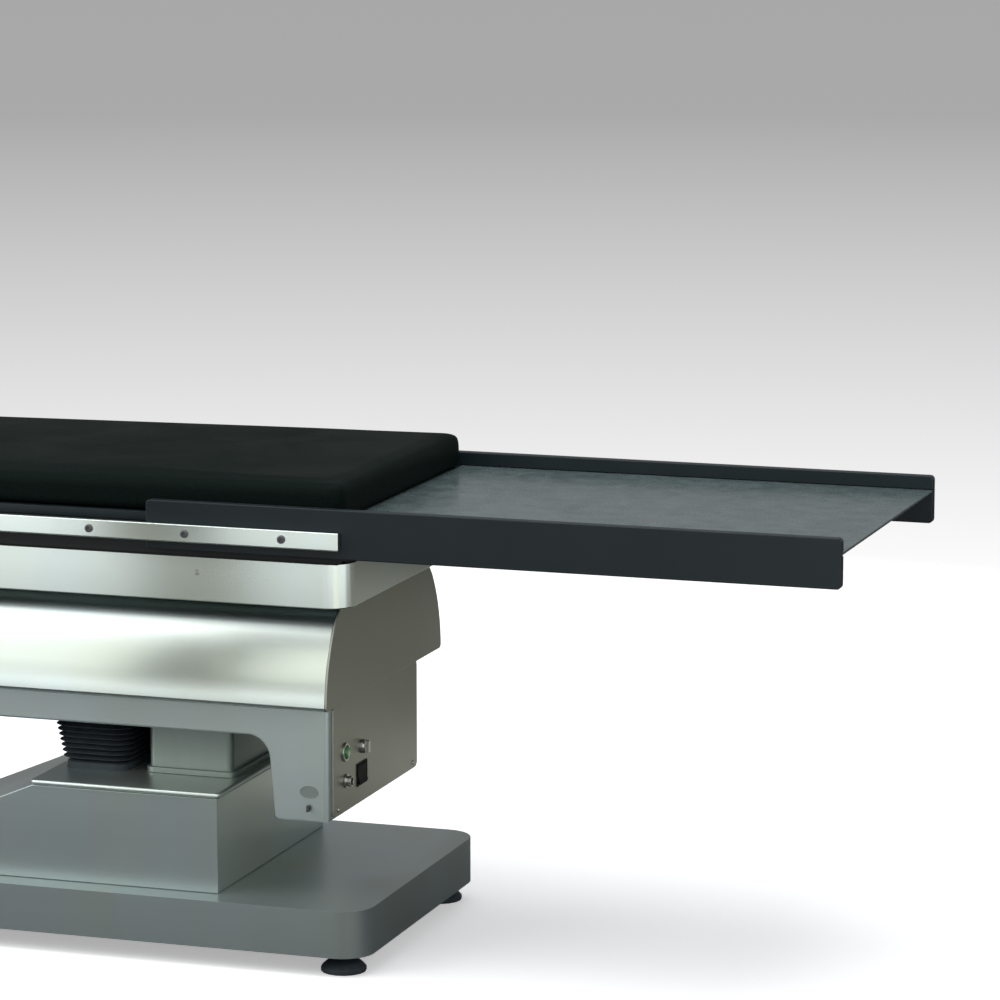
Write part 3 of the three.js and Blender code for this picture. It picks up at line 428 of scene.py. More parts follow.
def model_ring(outer, inner, height, edge):
    """A flat ring that stands on Z = 0."""
    clear_selection()
    bpy.ops.mesh.primitive_circle_add(vertices=48, radius=inner)
    ring = name_new("ring")
    grow = outer / inner
    with editing(ring):
        bpy.ops.mesh.extrude_edges_move()
        bpy.ops.transform.resize(value=(grow, grow, 1))
    return raise_flat(ring, height, edge)


def model_frame(half_x, half_y, border, height, edge):
    """A rectangular bezel that stands on Z = 0 round an opening."""
    bezel = model_plane("bezel", (half_x + border) * 2, (half_y + border) * 2)
    with editing(bezel):
        bpy.ops.mesh.inset(thickness=border)
        bpy.ops.mesh.delete(type="FACE")
    return raise_flat(bezel, height, edge)


def model_disc(name, vertices, radius, height, foot=0.0):
    """An upright cylinder whose lower face is at the height of its foot."""
    clear_selection()
    bpy.ops.mesh.primitive_cylinder_add(
        vertices=vertices, radius=radius, depth=height, location=(0, 0, foot + height / 2))
    return settle(name_new(name))


def round_rim(obj, height, offset, segments):
    """Rounds the upper rim of a cylinder of the given height."""
    with editing(obj):
        select_edges(obj, lambda edge: all(v.co.z > height * 0.9 for v in edge.verts))
        bpy.ops.mesh.bevel(offset=offset, segments=segments)


def model_screw(radius):
    """A low domed screw head with a hexagon socket, standing on Z = 0."""
    height = radius * 0.55
    head = model_disc("screw_head", vertices=32, radius=radius, height=height)
    round_rim(head, height, offset=height * 0.7, segments=4)
    key = model_disc("socket_cutter", vertices=6, radius=radius * 0.52, height=height, foot=height / 2)
    socket = head.modifiers.new("Hexagon socket", "BOOLEAN")
    socket.operation = "DIFFERENCE"
    socket.object = key
    apply_modifiers(head)
    bpy.data.objects.remove(key)
    return round_edges(head, 0)


# Node groups and finishes

def feed(tree, socket, value):
    """Links a socket to the output of another node, or sets it to a fixed value."""
    if isinstance(value, bpy.types.NodeSocket):
        tree.links.new(value, socket)
    else:
        socket.default_value = value


def feed_inputs(tree, node, values):
    """Feeds the inputs of a node, whose labels are given with underscores for spaces."""
    for label, value in values.items():
        feed(tree, node.inputs[label.replace("_", " ")], value)


def new_node(tree, kind, **values):
    node = tree.nodes.new("ShaderNode" + kind)
    feed_inputs(tree, node, values)
    return node


def new_material(name):
    material = bpy.data.materials.new(name)
    material.use_nodes = True
    return material, material.node_tree


def new_group(name, values, outputs):
    """A node group that takes a vector and the named values, and puts out the named floats."""
    group = bpy.data.node_groups.new(name, "ShaderNodeTree")
    group.interface.new_socket(name="Vector", in_out="INPUT", socket_type="NodeSocketVector")
    for label, value in values.items():
        socket = group.interface.new_socket(name=label, in_out="INPUT", socket_type="NodeSocketFloat")
        socket.default_value = value
    for label in outputs:
        group.interface.new_socket(name=label, in_out="OUTPUT", socket_type="NodeSocketFloat")
    start = group.nodes.new("NodeGroupInput")
    end = group.nodes.new("NodeGroupOutput")
    return group, start.outputs, end.inputs


def noise(tree, vector, scale, detail=3.0, roughness=0.55, distortion=0.0):
    node = new_node(tree, "TexNoise", Vector=vector, Scale=scale, Detail=detail, Roughness=roughness,
                    Distortion=distortion)
    return node.outputs["Fac"]


def math_node(tree, operation, first, second):
    node = new_node(tree, "Math")
    node.operation = operation
    feed(tree, node.inputs[0], first)
    feed(tree, node.inputs[1], second)
    return node.outputs["Value"]


def map_range(tree, value, low, high, to_low=0.0, to_high=1.0):
    node = new_node(tree, "MapRange", Value=value, From_Min=low, From_Max=high, To_Min=to_low, To_Max=to_high)
    return node.outputs["Result"]


def mix_values(tree, first, second, share):
    """The first value with a share of the second in it."""
    return math_node(tree, "ADD", math_node(tree, "MULTIPLY", first, 1 - share),
                     math_node(tree, "MULTIPLY", second, share))


def mix_colours(tree, factor, first, second, blend="MIX"):
    node = new_node(tree, "Mix")
    node.data_type = "RGBA"
    node.blend_type = blend
    feed_inputs(tree, node, {"Factor": factor, "A": first, "B": second})
    return node.outputs["Result"]


def split_axes(tree, vector):
    return new_node(tree, "SeparateXYZ", Vector=vector).outputs


def grey_ramp(tree, value, stops):
    """Greys along a ramp, each stop given as (place, grey)."""
    ramp = new_node(tree, "ValToRGB", Fac=value)
    elements = ramp.color_ramp.elements
    elements[0].position, elements[1].position = stops[0][0], stops[-1][0]
    for place, _ in stops[1:-1]:
        elements.new(place)
    for element, (_, grey) in zip(elements, stops):
        element.color = (grey, grey, grey, 1)
    return ramp.outputs["Color"]


def build_brushing_group():
    """Fine streaks along one direction: the vector is already stretched by the material."""
    group, given, result = new_group("Brushed streaks", {"Contrast": 1.0}, ("Streak", "Height"))
    fine = noise(group, given["Vector"], scale=1.0, detail=4.0, roughness=0.7)
    broad = noise(group, given["Vector"], scale=0.13, detail=2.0, roughness=0.5)
    centred = math_node(group, "SUBTRACT", mix_values(group, fine, broad, share=0.35), 0.5)
    spread = math_node(group, "MULTIPLY", centred, given["Contrast"])
    group.links.new(math_node(group, "ADD", spread, 0.5), result["Streak"])
    group.links.new(fine, result["Height"])


def build_marks_group():
    """Wipe marks and finger marks: broad cloudy patches with a few denser spots."""
    group, given, result = new_group("Wipe marks", {"Scale": 7.0}, ("Mark",))
    cloud = noise(group, given["Vector"], given["Scale"], detail=5.0, roughness=0.5, distortion=0.6)
    group.links.new(map_range(group, cloud, low=0.42, high=0.68), result["Mark"])


def build_tone_group():
    """Broad upright bands in which rolled sheet looks a little warmer."""
    group, given, result = new_group("Sheet tone", {}, ("Tone",))
    upright = new_node(group, "Mapping", Vector=given["Vector"], Scale=(7.0, 7.0, 1.2))
    bands = noise(group, upright.outputs["Vector"], scale=1.0, detail=2.0)
    group.links.new(map_range(group, bands, low=0.40, high=0.72), result["Tone"])


def build_speckle_group():
    """Two sizes of mottling for laminate, castings, rubber and paint."""
    scales = {"Fine Scale": 600.0, "Broad Scale": 25.0}
    group, given, result = new_group("Mottle", scales, ("Shade", "Height"))
    fine = noise(group, given["Vector"], given["Fine Scale"], detail=2.0, roughness=0.5)
    broad = noise(group, given["Vector"], given["Broad Scale"], detail=4.0, roughness=0.5)
    mixed = mix_values(group, fine, broad, share=0.5)
    group.links.new(map_range(group, mixed, low=0.32, high=0.68), result["Shade"])
    group.links.new(fine, result["Height"])


def build_grain_group():
    """Pebbled grain of coated fabric: cells with soft creases between them."""
    group, given, result = new_group("Vinyl grain", {"Cells": 420.0}, ("Crease", "Height"))
    cells = new_node(group, "TexVoronoi", Vector=given["Vector"], Scale=given["Cells"])
    cells.feature = "DISTANCE_TO_EDGE"
    crease = map_range(group, cells.outputs["Distance"], low=0.0, high=0.22)
    soft = noise(group, given["Vector"], scale=60.0)
    group.links.new(crease, result["Crease"])
    group.links.new(mix_values(group, crease, soft, share=0.2), result["Height"])


class Finish:
    """One material under construction: its tree, its shader and the object coordinates."""

    def __init__(self, name, stretch=(1, 1, 1)):
        self.tree = new_material(name)[1]
        self.shader = self.tree.nodes["Principled BSDF"]
        self.coordinates = new_node(self.tree, "TexCoord").outputs["Object"]
        mapping = new_node(self.tree, "Mapping", Vector=self.coordinates, Scale=stretch)
        self.stretched = mapping.outputs["Vector"]

    def group(self, name, vector=None, **values):
        """Places a node group, on the object coordinates unless it is given another vector."""
        node = new_node(self.tree, "Group")
        node.node_tree = bpy.data.node_groups[name]
        feed_inputs(self.tree, node, {"Vector": vector or self.coordinates, **values})
        return node.outputs

    def feed(self, **values):
        feed_inputs(self.tree, self.shader, values)

    def colour_between(self, colour, dark, light, mask):
        """Base colour that runs between a darker and a lighter version of one colour."""
        darker = [c * dark for c in colour[:3]] + [1]
        lighter = [min(1, c * light) for c in colour[:3]] + [1]
        mixed = mix_colours(self.tree, mask, darker, lighter)
        self.feed(Base_Color=mixed)
        return mixed

    def roughness_between(self, low, high, mask):
        self.feed(Roughness=map_range(self.tree, mask, 0.0, 1.0, low, high))

    def bump(self, height, strength, distance):
        node = new_node(self.tree, "Bump", Strength=strength, Distance=distance, Height=height)
        self.feed(Normal=node.outputs["Normal"])


def make_metal(name, colour, stretch, rough, contrast, anisotropy, metallic=1.0):
    """Brushed metal: streaks in colour, roughness and bump, with wipe marks and warmer bands."""
    finish = Finish(name, stretch)
    streak = finish.group("Brushed streaks", finish.stretched, Contrast=contrast)
    mark = finish.group("Wipe marks")["Mark"]
    tone = finish.group("Sheet tone")["Tone"]
    brushed = finish.colour_between(colour, dark=0.93, light=1.04, mask=streak["Streak"])
    finish.feed(Base_Color=mix_colours(finish.tree, tone, brushed, WARM_TINT, "MULTIPLY"))
    smeared = mix_values(finish.tree, streak["Streak"], mark, share=0.3)
    finish.roughness_between(rough - METAL_SPREAD, rough + METAL_SPREAD, smeared)
    finish.bump(streak["Height"], strength=0.008, distance=0.0003)
    finish.feed(Metallic=metallic, Anisotropic=anisotropy, Anisotropic_Rotation=0.25)
    return finish


def paint_shade_above(finish, start, full):
    """Darkens a finish towards a dull steel colour with height: painted shade under an overhanging cover."""
    height = split_axes(finish.tree, finish.coordinates)["Z"]
    colour = finish.shader.inputs["Base Color"].links[0].from_socket
    share = map_range(finish.tree, height, start, full)
    finish.feed(Base_Color=mix_colours(finish.tree, share, colour, PAINTED_SHADE_STEEL))


def make_mottled(name, colour, rough, fine, broad, bump, spread=0.25, marks=0.0, gloss=0.5):
    """A finish with mottling of two sizes in its colour, roughness and bump, and wipe marks if asked for."""
    finish = Finish(name)
    mottle = finish.group("Mottle", Fine_Scale=fine, Broad_Scale=broad)
    finish.colour_between(colour, 1 - spread, 1 + spread, mottle["Shade"])
    mask = mottle["Shade"]
    if marks:
        mark = finish.group("Wipe marks", Scale=11.0)["Mark"]
        mask = mix_values(finish.tree, mask, mark, marks)
    finish.roughness_between(low=rough - 0.06, high=rough + 0.08, mask=mask)
    finish.bump(mottle["Height"], bump, distance=0.0005)
    finish.feed(Specular_IOR_Level=gloss)
    return finish


class RADIOTABLE_OT_finishes(bpy.types.Operator):
    """Make the finishes and give every frame node the one of its slot"""

    bl_idname = "radiotable.finishes"
    bl_label = "Finishes"

    def execute(self, context):
        colours = context.scene.radiotable_colours
        build_brushing_group()
        build_marks_group()
        build_tone_group()
        build_speckle_group()
        build_grain_group()
        self.make_metals(colours)
        self.make_coatings(colours)
        self.make_vinyl(colours.vinyl)
        self.dress_nodes()
        return {"FINISHED"}

    def make_metals(self, colours):
        along_x = (5, 900, 900)
        along_y = (900, 6, 900)
        along_z = (700, 700, 6)
        all_ways = (300, 300, 300)
        polished, satin = 0.243, 0.31
        make_metal("brushed steel", colours.steel, along_x, polished, contrast=1.0, anisotropy=0.3)
        hood = make_metal("hood steel", colours.steel, along_x, polished, contrast=1.0, anisotropy=0.3)
        # Painted shade on the hood just under the saddle's edge
        paint_shade_above(hood, start=0.476, full=0.492)
        make_metal("satin steel", colours.satin, along_x, satin, contrast=0.8, anisotropy=0.3, metallic=0.72)
        make_metal("base steel", colours.base, along_x, satin, contrast=0.8, anisotropy=0.3, metallic=0.72)
        make_metal("satin plate", colours.plate, along_y, 0.44, contrast=0.7, anisotropy=0.2)
        # Painted shade: the housing's darker colour stands for the head's shade over it
        make_metal("satin housing", colours.housing, along_z, 0.40, contrast=0.8, anisotropy=0.2,
                   metallic=0.5)
        make_metal("satin lid", colours.steel, along_x, 0.35, contrast=0.8, anisotropy=0.2, metallic=0.9)
        make_metal("machined steel", colours.machined, all_ways, satin, contrast=0.5, anisotropy=0.0)

    def make_coatings(self, colours):
        make_mottled("black paint", colours.paint, rough=0.5, fine=500.0, broad=12.0, bump=0.10, gloss=0.25)
        make_mottled("grey casting", colours.casting, rough=0.62, fine=350.0, broad=30.0, bump=0.5)
        make_mottled("black rubber", colours.rubber, rough=0.62, fine=700.0, broad=40.0, bump=0.25,
                     spread=0.35, gloss=0.3)
        make_mottled("dark laminate", colours.laminate, rough=0.38, fine=900.0, broad=8.0, bump=0.05,
                     spread=0.2, marks=0.4, gloss=0.25)
        make_mottled("grey composite", colours.composite, rough=0.26, fine=260.0, broad=34.0, bump=0.06,
                     spread=0.34, marks=0.5)
        lens = make_mottled("green lens", colours.lens, rough=0.2, fine=300.0, broad=90.0, bump=0.02,
                            spread=0.35)
        lens.feed(Coat_Weight=0.6, Coat_Roughness=0.05)
        make_mottled("black moulding", colours.moulding, rough=0.5, fine=900.0, broad=60.0, bump=0.08,
                     gloss=0.1)

    def make_vinyl(self, colour):
        finish = Finish("mattress vinyl")
        grain = finish.group("Vinyl grain")
        mark = finish.group("Wipe marks", Scale=5.0)["Mark"]
        finish.colour_between(colour, dark=0.7, light=1.25, mask=grain["Crease"])
        finish.roughness_between(low=0.46, high=0.58, mask=mark)
        finish.bump(grain["Height"], strength=0.22, distance=0.0006)
        finish.feed(Specular_IOR_Level=0.02)

    def dress_nodes(self):
        for subpart in frame["record"]["subparts"]:
            node = frame["nodes"][subpart["node"]]
            node.data.materials.clear()
            finish = SLOT_FINISHES[subpart["material_slot"]]
            node.data.materials.append(bpy.data.materials[finish])


class RADIOTABLE_OT_mattress(bpy.types.Operator):
    """Swell the mattress from a slightly smaller slab of foam in its cover"""

    bl_idname = "radiotable.mattress"
    bl_label = "Mattress"

    def execute(self, context):
        sizes = context.scene.radiotable_sizes
        low, high = Vector(PAD_LOW), Vector(PAD_HIGH)
        inset = Vector((sizes.pad_start, sizes.pad_start, 0))
        low, high = low + inset, high - inset - Vector((-sizes.pad_overhang, 0, sizes.pad_rise))
        end = PAD_HIGH[0] + sizes.pad_overhang
        pad = self.model_slab(sizes, low, high)
        pad.data.remesh_voxel_size = sizes.pad_voxel
        bpy.ops.object.voxel_remesh()
        self.swell(context.scene, pad, sizes.pad_swell, low.z, end)
        self.shape_top(pad, low, high, sizes.pad_rise)
        smooth = pad.modifiers.new("Even cover", "SMOOTH")
        smooth.factor = 0.5
        smooth.iterations = 2
        add_subdivision(pad, "Fine cover", 1)
        apply_modifiers(pad)
        self.rest_flat(pad, end)
        bpy.ops.object.shade_smooth()
        finish_piece(pad, "mattress vinyl", "top")
        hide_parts("mattress")
        return {"FINISHED"}

    def model_slab(self, sizes, low, high):
        """A slab of foam with rounded corners and edges."""
        clear_selection()
        bpy.ops.mesh.primitive_cube_add(size=1, location=(low + high) / 2)
        pad = name_new("mattress_pad")
        pad.scale = high - low
        settle(pad)
        with editing(pad):
            select_edges(pad, lambda edge: abs(edge.verts[0].co.z - edge.verts[1].co.z) > LEVEL)
            bpy.ops.mesh.bevel(offset=sizes.pad_corner, segments=6)
            select_edges(pad, lambda edge: all(v.co.z > high.z - LEVEL for v in edge.verts))
            bpy.ops.mesh.bevel(offset=sizes.pad_edge, segments=6)
            select_edges(pad, lambda edge: all(v.co.z < low.z + LEVEL for v in edge.verts))
            bpy.ops.mesh.bevel(offset=PAD_UNDER_EDGE, segments=3)
        return pad

    def swell(self, scene, pad, most, floor, end):
        """Blows the cover up, and keeps every point within its most allowed move."""
        start = [v.co.copy() for v in pad.data.vertices]
        held = pad.vertex_groups.new(name="held by the panel and the foam's edge")
        held.add([v.index for v in pad.data.vertices if v.co.z < floor + PAD_HELD], 1.0, "REPLACE")
        held.add([v.index for v in pad.data.vertices if self.near_edge(v.co, end)], PAD_EDGE_HOLD, "REPLACE")
        cloth = pad.modifiers.new("Swelling", "CLOTH")
        cloth.settings.use_pressure = True
        cloth.settings.uniform_pressure_force = PAD_PRESSURE
        cloth.settings.effector_weights.gravity = 0.0
        cloth.settings.vertex_group_mass = held.name
        cloth.settings.quality = 4
        cloth.point_cache.frame_start = 1
        cloth.point_cache.frame_end = PAD_FRAMES
        for step in range(1, PAD_FRAMES + 1):
            scene.frame_set(step)
        graph = bpy.context.evaluated_depsgraph_get()
        swollen = [v.co.copy() for v in pad.evaluated_get(graph).data.vertices]
        pad.modifiers.remove(cloth)
        scene.frame_set(1)
        pad.vertex_groups.remove(held)
        for vertex, before, after in zip(pad.data.vertices, start, swollen):
            move = after - before
            if move.length > most:
                move.length = most
            vertex.co = before + move
        pad.data.update()

    def near_edge(self, spot, end):
        """True within the band along the sides where the foam keeps the cover in shape."""
        return (min(spot.x - PAD_LOW[0], end - spot.x) < PAD_BAND
                or min(spot.y - PAD_LOW[1], PAD_HIGH[1] - spot.y) < PAD_BAND)

    def shape_top(self, pad, low, high, end_rise):
        """Crowns the top, thickens the leaf end and draws the long sides in between the corners."""
        centre = (low + high) / 2
        half = (high - low) / 2
        for vertex in pad.data.vertices:
            along = max(0.0, 1 - ((vertex.co.x - centre.x) / half.x) ** 4)
            across = max(0.0, 1 - ((vertex.co.y - centre.y) / half.y) ** 4)
            rise = max(0.0, (vertex.co.z - low.z) / (high.z - low.z))
            leaf_end = max(0.0, (vertex.co.x - centre.x) / half.x)
            vertex.co.z += (PAD_CROWN * along * across + end_rise * leaf_end) * rise
            vertex.co.y *= 1 - PAD_DRAW_IN * along * rise
        pad.data.update()

    def rest_flat(self, pad, end):
        """Keeps the pad within its room, flat where it rests on the panel."""
        for vertex in pad.data.vertices:
            vertex.co.x = min(max(vertex.co.x, PAD_LOW[0]), end)
            vertex.co.y = min(max(vertex.co.y, PAD_LOW[1]), PAD_HIGH[1])
            vertex.co.z = min(max(vertex.co.z, PAD_LOW[2]), PAD_HIGH[2] + PAD_HEADROOM)
        pad.data.update()


class RADIOTABLE_OT_bellows(bpy.types.Operator):
    """Fold the bellows round the column, ring by ring from its flange"""

    bl_idname = "radiotable.bellows"
    bl_label = "Bellows"

    def execute(self, context):
        sizes = context.scene.radiotable_sizes
        low, high = Vector(BELLOWS_LOW), Vector(BELLOWS_HIGH)
        centre = (low + high) / 2
        half_x, half_y = (high.x - low.x) / 2, (high.y - low.y) / 2
        foot_x, foot_y = half_x - sizes.bellows_flare, half_y - sizes.bellows_flare
        bellows = model_plane("bellows_folds", foot_x * 2, foot_y * 2, (centre.x, centre.y, low.z))
        now = [low.z, foot_x, foot_y]
        with editing(bellows):
            bpy.ops.mesh.bevel(offset=BELLOWS_CORNER, segments=6, affect="VERTICES")
            bpy.ops.mesh.delete(type="ONLY_FACE")
            bpy.ops.mesh.select_mode(type="EDGE")
            bpy.ops.mesh.select_all(action="SELECT")
            for height, inset in self.rings(sizes, high.z - low.z):
                grow = sizes.bellows_flare * height / (high.z - low.z) - inset
                self.next_ring(now, low.z + height, foot_x + grow, foot_y + grow, centre)
            bpy.ops.mesh.select_all(action="SELECT")
            bpy.ops.mesh.normals_make_consistent(inside=False)
        wall = bellows.modifiers.new("Rubber wall", "SOLIDIFY")
        wall.thickness = BELLOWS_WALL
        wall.offset = -1
        add_subdivision(bellows, "Soft folds", 2)
        apply_modifiers(bellows)
        bpy.ops.object.shade_smooth()
        bellows.data.materials.append(bpy.data.materials["black rubber"])
        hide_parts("bellows")
        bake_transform(bellows)
        return {"FINISHED"}

    def rings(self, sizes, tall):
        """Heights above the lid and insets of the rings: flange, then a valley and a crest for each pleat."""
        depth = sizes.pleat_depth
        band = sizes.bellows_flange
        pitch = (tall - BELLOWS_RIM - band) / sizes.pleats
        yield FLANGE_FOOT, FLANGE_INSET
        yield band - FLANGE_INSET, FLANGE_INSET
        for pleat in range(sizes.pleats):
            foot = band + pleat * pitch
            for share, inset in ((0, depth), (0.10, depth), (0.50, -PLEAT_CREST), (0.60, -PLEAT_CREST)):
                yield foot + share * pitch, inset
        yield tall - BELLOWS_RIM, depth
        yield tall, depth

    def next_ring(self, now, height, half_x, half_y, centre):
        """Extrudes the open rim to its next height and size."""
        bpy.ops.mesh.extrude_edges_move(TRANSFORM_OT_translate={"value": (0, 0, height - now[0])})
        bpy.ops.transform.resize(
            value=(half_x / now[1], half_y / now[2], 1), center_override=(centre.x, centre.y, height))
        now[:] = [height, half_x, half_y]


class RADIOTABLE_OT_covers(bpy.types.Operator):
    """Round the edges of the stainless covers, as folded and ground sheet has them"""

    bl_idname = "radiotable.covers"
    bl_label = "Steel Covers"

    def execute(self, context):
        rounded_nodes({
            "saddle_cover": (0.0022, 3), "side_rail_near": (0.0005, 2), "side_rail_far": (0.0005, 2),
        }, "brushed steel")
        rounded_nodes({"base_deck": (0.006, 4), "base_tower": (0.003, 3)}, "base steel")
        rounded_nodes({
            "hood_end_right": (0.001, 3), "hood_end_left": (0.001, 3), "control_panel": (0.0009, 2),
        }, "satin plate")
        self.roll_skirt_edge()
        rounded_nodes({"hood_canopy": (0.0008, 2)}, "hood steel")
        rounded_nodes({"base_lid": (0.002, 4)}, "satin lid")
        rounded_nodes({"power_housing": (0.0025, 3)}, "satin housing")
        return {"FINISHED"}

    def roll_skirt_edge(self):
        """Rolls the lower outline of the skirt and the leg on both sides, and eases its other edges."""
        rolled, eased = 0.0026, 0.0003
        skirt = copy_node("skirt_shell")
        side = SKIRT_HIGH[1] - LEVEL
        with editing(skirt):
            select_edges(skirt, lambda edge: (
                len(edge.link_faces) == 2
                and all(abs(v.co.y) > side and v.co.z < PANEL_HIGH[2] for v in edge.verts)
                and any(abs(f.normal.y) < 0.1 for f in edge.link_faces)))
            bpy.ops.mesh.bevel(offset=rolled, segments=4)
        round_edges(skirt, eased)
        stand_for("skirt_shell", skirt, "satin steel")


class RADIOTABLE_OT_top(bpy.types.Operator):
    """Round the edges of the frame under the top, its panel and the leaf"""

    bl_idname = "radiotable.top"
    bl_label = "Top And Leaf"

    def execute(self, context):
        rounded_nodes({
            "leaf_board_near": (0.0016, 3), "leaf_board_far": (0.0016, 3), "top_panel": (0.002, 3),
        }, "dark laminate")
        rounded_nodes({"leaf_tray": (0.0009, 2)}, "grey composite")
        rounded_nodes({
            "frame_side_near": (0.0008, 2), "frame_side_far": (0.0008, 2), "frame_cross_left": (0.001, 2),
            "frame_cross_middle": (0.001, 2), "frame_cross_right": (0.001, 2),
        }, "black paint")
        return {"FINISHED"}


class RADIOTABLE_OT_screws(bpy.types.Operator):
    """Set the screws of the rails, the saddle and the control panel"""

    bl_idname = "radiotable.screws"
    bl_label = "Screws"

    def execute(self, context):
        sizes = context.scene.radiotable_sizes
        rail_z = (RAIL_LOW[2] + RAIL_HIGH[2]) / 2
        rail_face = -RAIL_LOW[1]
        for hand, sign in (("near", -1), ("far", 1)):
            places = [
                facing((sizes.screw_first - i * sizes.screw_pitch, sign * rail_face, rail_z), (0, sign, 0))
                for i in range(RAIL_SCREWS)
            ]
            repeated(model_screw(sizes.screw_radius), f"rail_screws_{hand}", places, "grey casting", "top")
        places = [
            facing((x, sign * SADDLE_HIGH[1], SADDLE_SCREW_Z), (0, sign, 0))
            for x in (-SADDLE_SCREW_X, SADDLE_SCREW_X) for sign in (-1, 1)
        ]
        repeated(model_screw(SMALL_SCREW), "saddle_screws", places, "machined steel", "saddle")
        places = [
            facing((PANEL_HIGH[0], y, PANEL_LOW[2] + PANEL_SCREW_RISE), (1, 0, 0))
            for y in (-PANEL_SCREW_Y, PANEL_SCREW_Y)
        ]
        repeated(model_screw(SMALL_SCREW), "panel_screws", places, "machined steel", "head")
        return {"FINISHED"}


class RADIOTABLE_OT_controls(bpy.types.Operator):
    """Finish the controls on the leg: bezels, contacts and the bare oval plate"""

    bl_idname = "radiotable.controls"
    bl_label = "Controls"

    def execute(self, context):
        face = PANEL_HIGH[0]
        rounded_nodes({"green_button": (0.0006, 2)}, "green lens")
        rounded_nodes({"rocker_switch": (0.0008, 3)}, "black moulding")
        rounded_nodes({
            "key_switch": (0.0006, 2), "handset_socket": (0.0005, 2),
        }, "machined steel")
        rounded_nodes({"earth_stud": (0.0005, 2)}, "grey casting")

        button = middle(BUTTON_LOW, BUTTON_HIGH)
        bezel = model_ring(outer=0.0135, inner=0.0098, height=0.0028, edge=0.0008)
        repeated(bezel, "button_bezel", [facing((face, button.y, button.z), (1, 0, 0))],
                 "machined steel", "head")

        rocker = middle(ROCKER_LOW, ROCKER_HIGH)
        half_y, half_z = (ROCKER_HIGH[1] - ROCKER_LOW[1]) / 2, (ROCKER_HIGH[2] - ROCKER_LOW[2]) / 2
        surround = model_frame(half_z + ROCKER_GAP, half_y + ROCKER_GAP, border=0.0028, height=0.0016,
                               edge=0.0006)
        repeated(surround, "rocker_bezel", [facing((face, rocker.y, rocker.z), (1, 0, 0))],
                 "black moulding", "head")

        self.make_contacts()
        self.make_oval_plate()
        return {"FINISHED"}

    def make_contacts(self):
        """An insulator with contact pins at the bottom of the socket's mouth."""
        thick, pin_height, pin_circle, pins = 0.0012, 0.0036, 0.0029, 5
        centre = middle(SOCKET_LOW, SOCKET_HIGH)
        floor = PANEL_HIGH[0] + SOCKET_FLOOR
        disc = model_disc("insulator", vertices=40, radius=0.0052, height=thick)
        with editing(disc):
            select_faces_up(disc)
            bpy.ops.mesh.inset(thickness=0.0009, depth=-0.0004)
        round_edges(disc, 0.0002)
        repeated(disc, "socket_insulator", [facing((floor, centre.y, centre.z), (1, 0, 0))],
                 "black moulding", "head")

        pin = model_disc("contact_pin", vertices=12, radius=0.0006, height=pin_height)
        round_rim(pin, pin_height, offset=0.0004, segments=3)
        round_edges(pin, 0)
        places = []
        for i in range(pins):
            angle = math.radians(360 / pins * i + 90)
            places.append(facing((floor + thick / 2, centre.y + pin_circle * math.cos(angle),
                                  centre.z + pin_circle * math.sin(angle)), (1, 0, 0)))
        repeated(pin, "socket_pins", places, "machined steel", "head")

    def make_oval_plate(self):
        """A small bare oval plate over the earth stud, with a raised rim."""
        plate = model_disc("oval", vertices=56, radius=1, height=0.0012)
        plate.scale = (0.0135, 0.009, 1)
        settle(plate)
        with editing(plate):
            select_faces_up(plate)
            bpy.ops.mesh.inset(thickness=0.0014)
            bpy.ops.mesh.extrude_region_move(TRANSFORM_OT_translate={"value": (0, 0, -0.0005)})
        round_edges(plate, 0.00025)
        repeated(plate, "oval_plate", [facing((OVAL_X, SKIRT_LOW[1], OVAL_Z), (0, -1, 0))],
                 "satin housing", "head")


class RADIOTABLE_OT_feet(bpy.types.Operator):
    """Round the levelling feet"""

    bl_idname = "radiotable.feet"
    bl_label = "Levelling Feet"

    def execute(self, context):
        rounded_nodes({
            f"foot_{side}_{end}": (0.0012, 2) for side in ("near", "far") for end in ("left", "right")
        }, "black rubber")
        return {"FINISHED"}


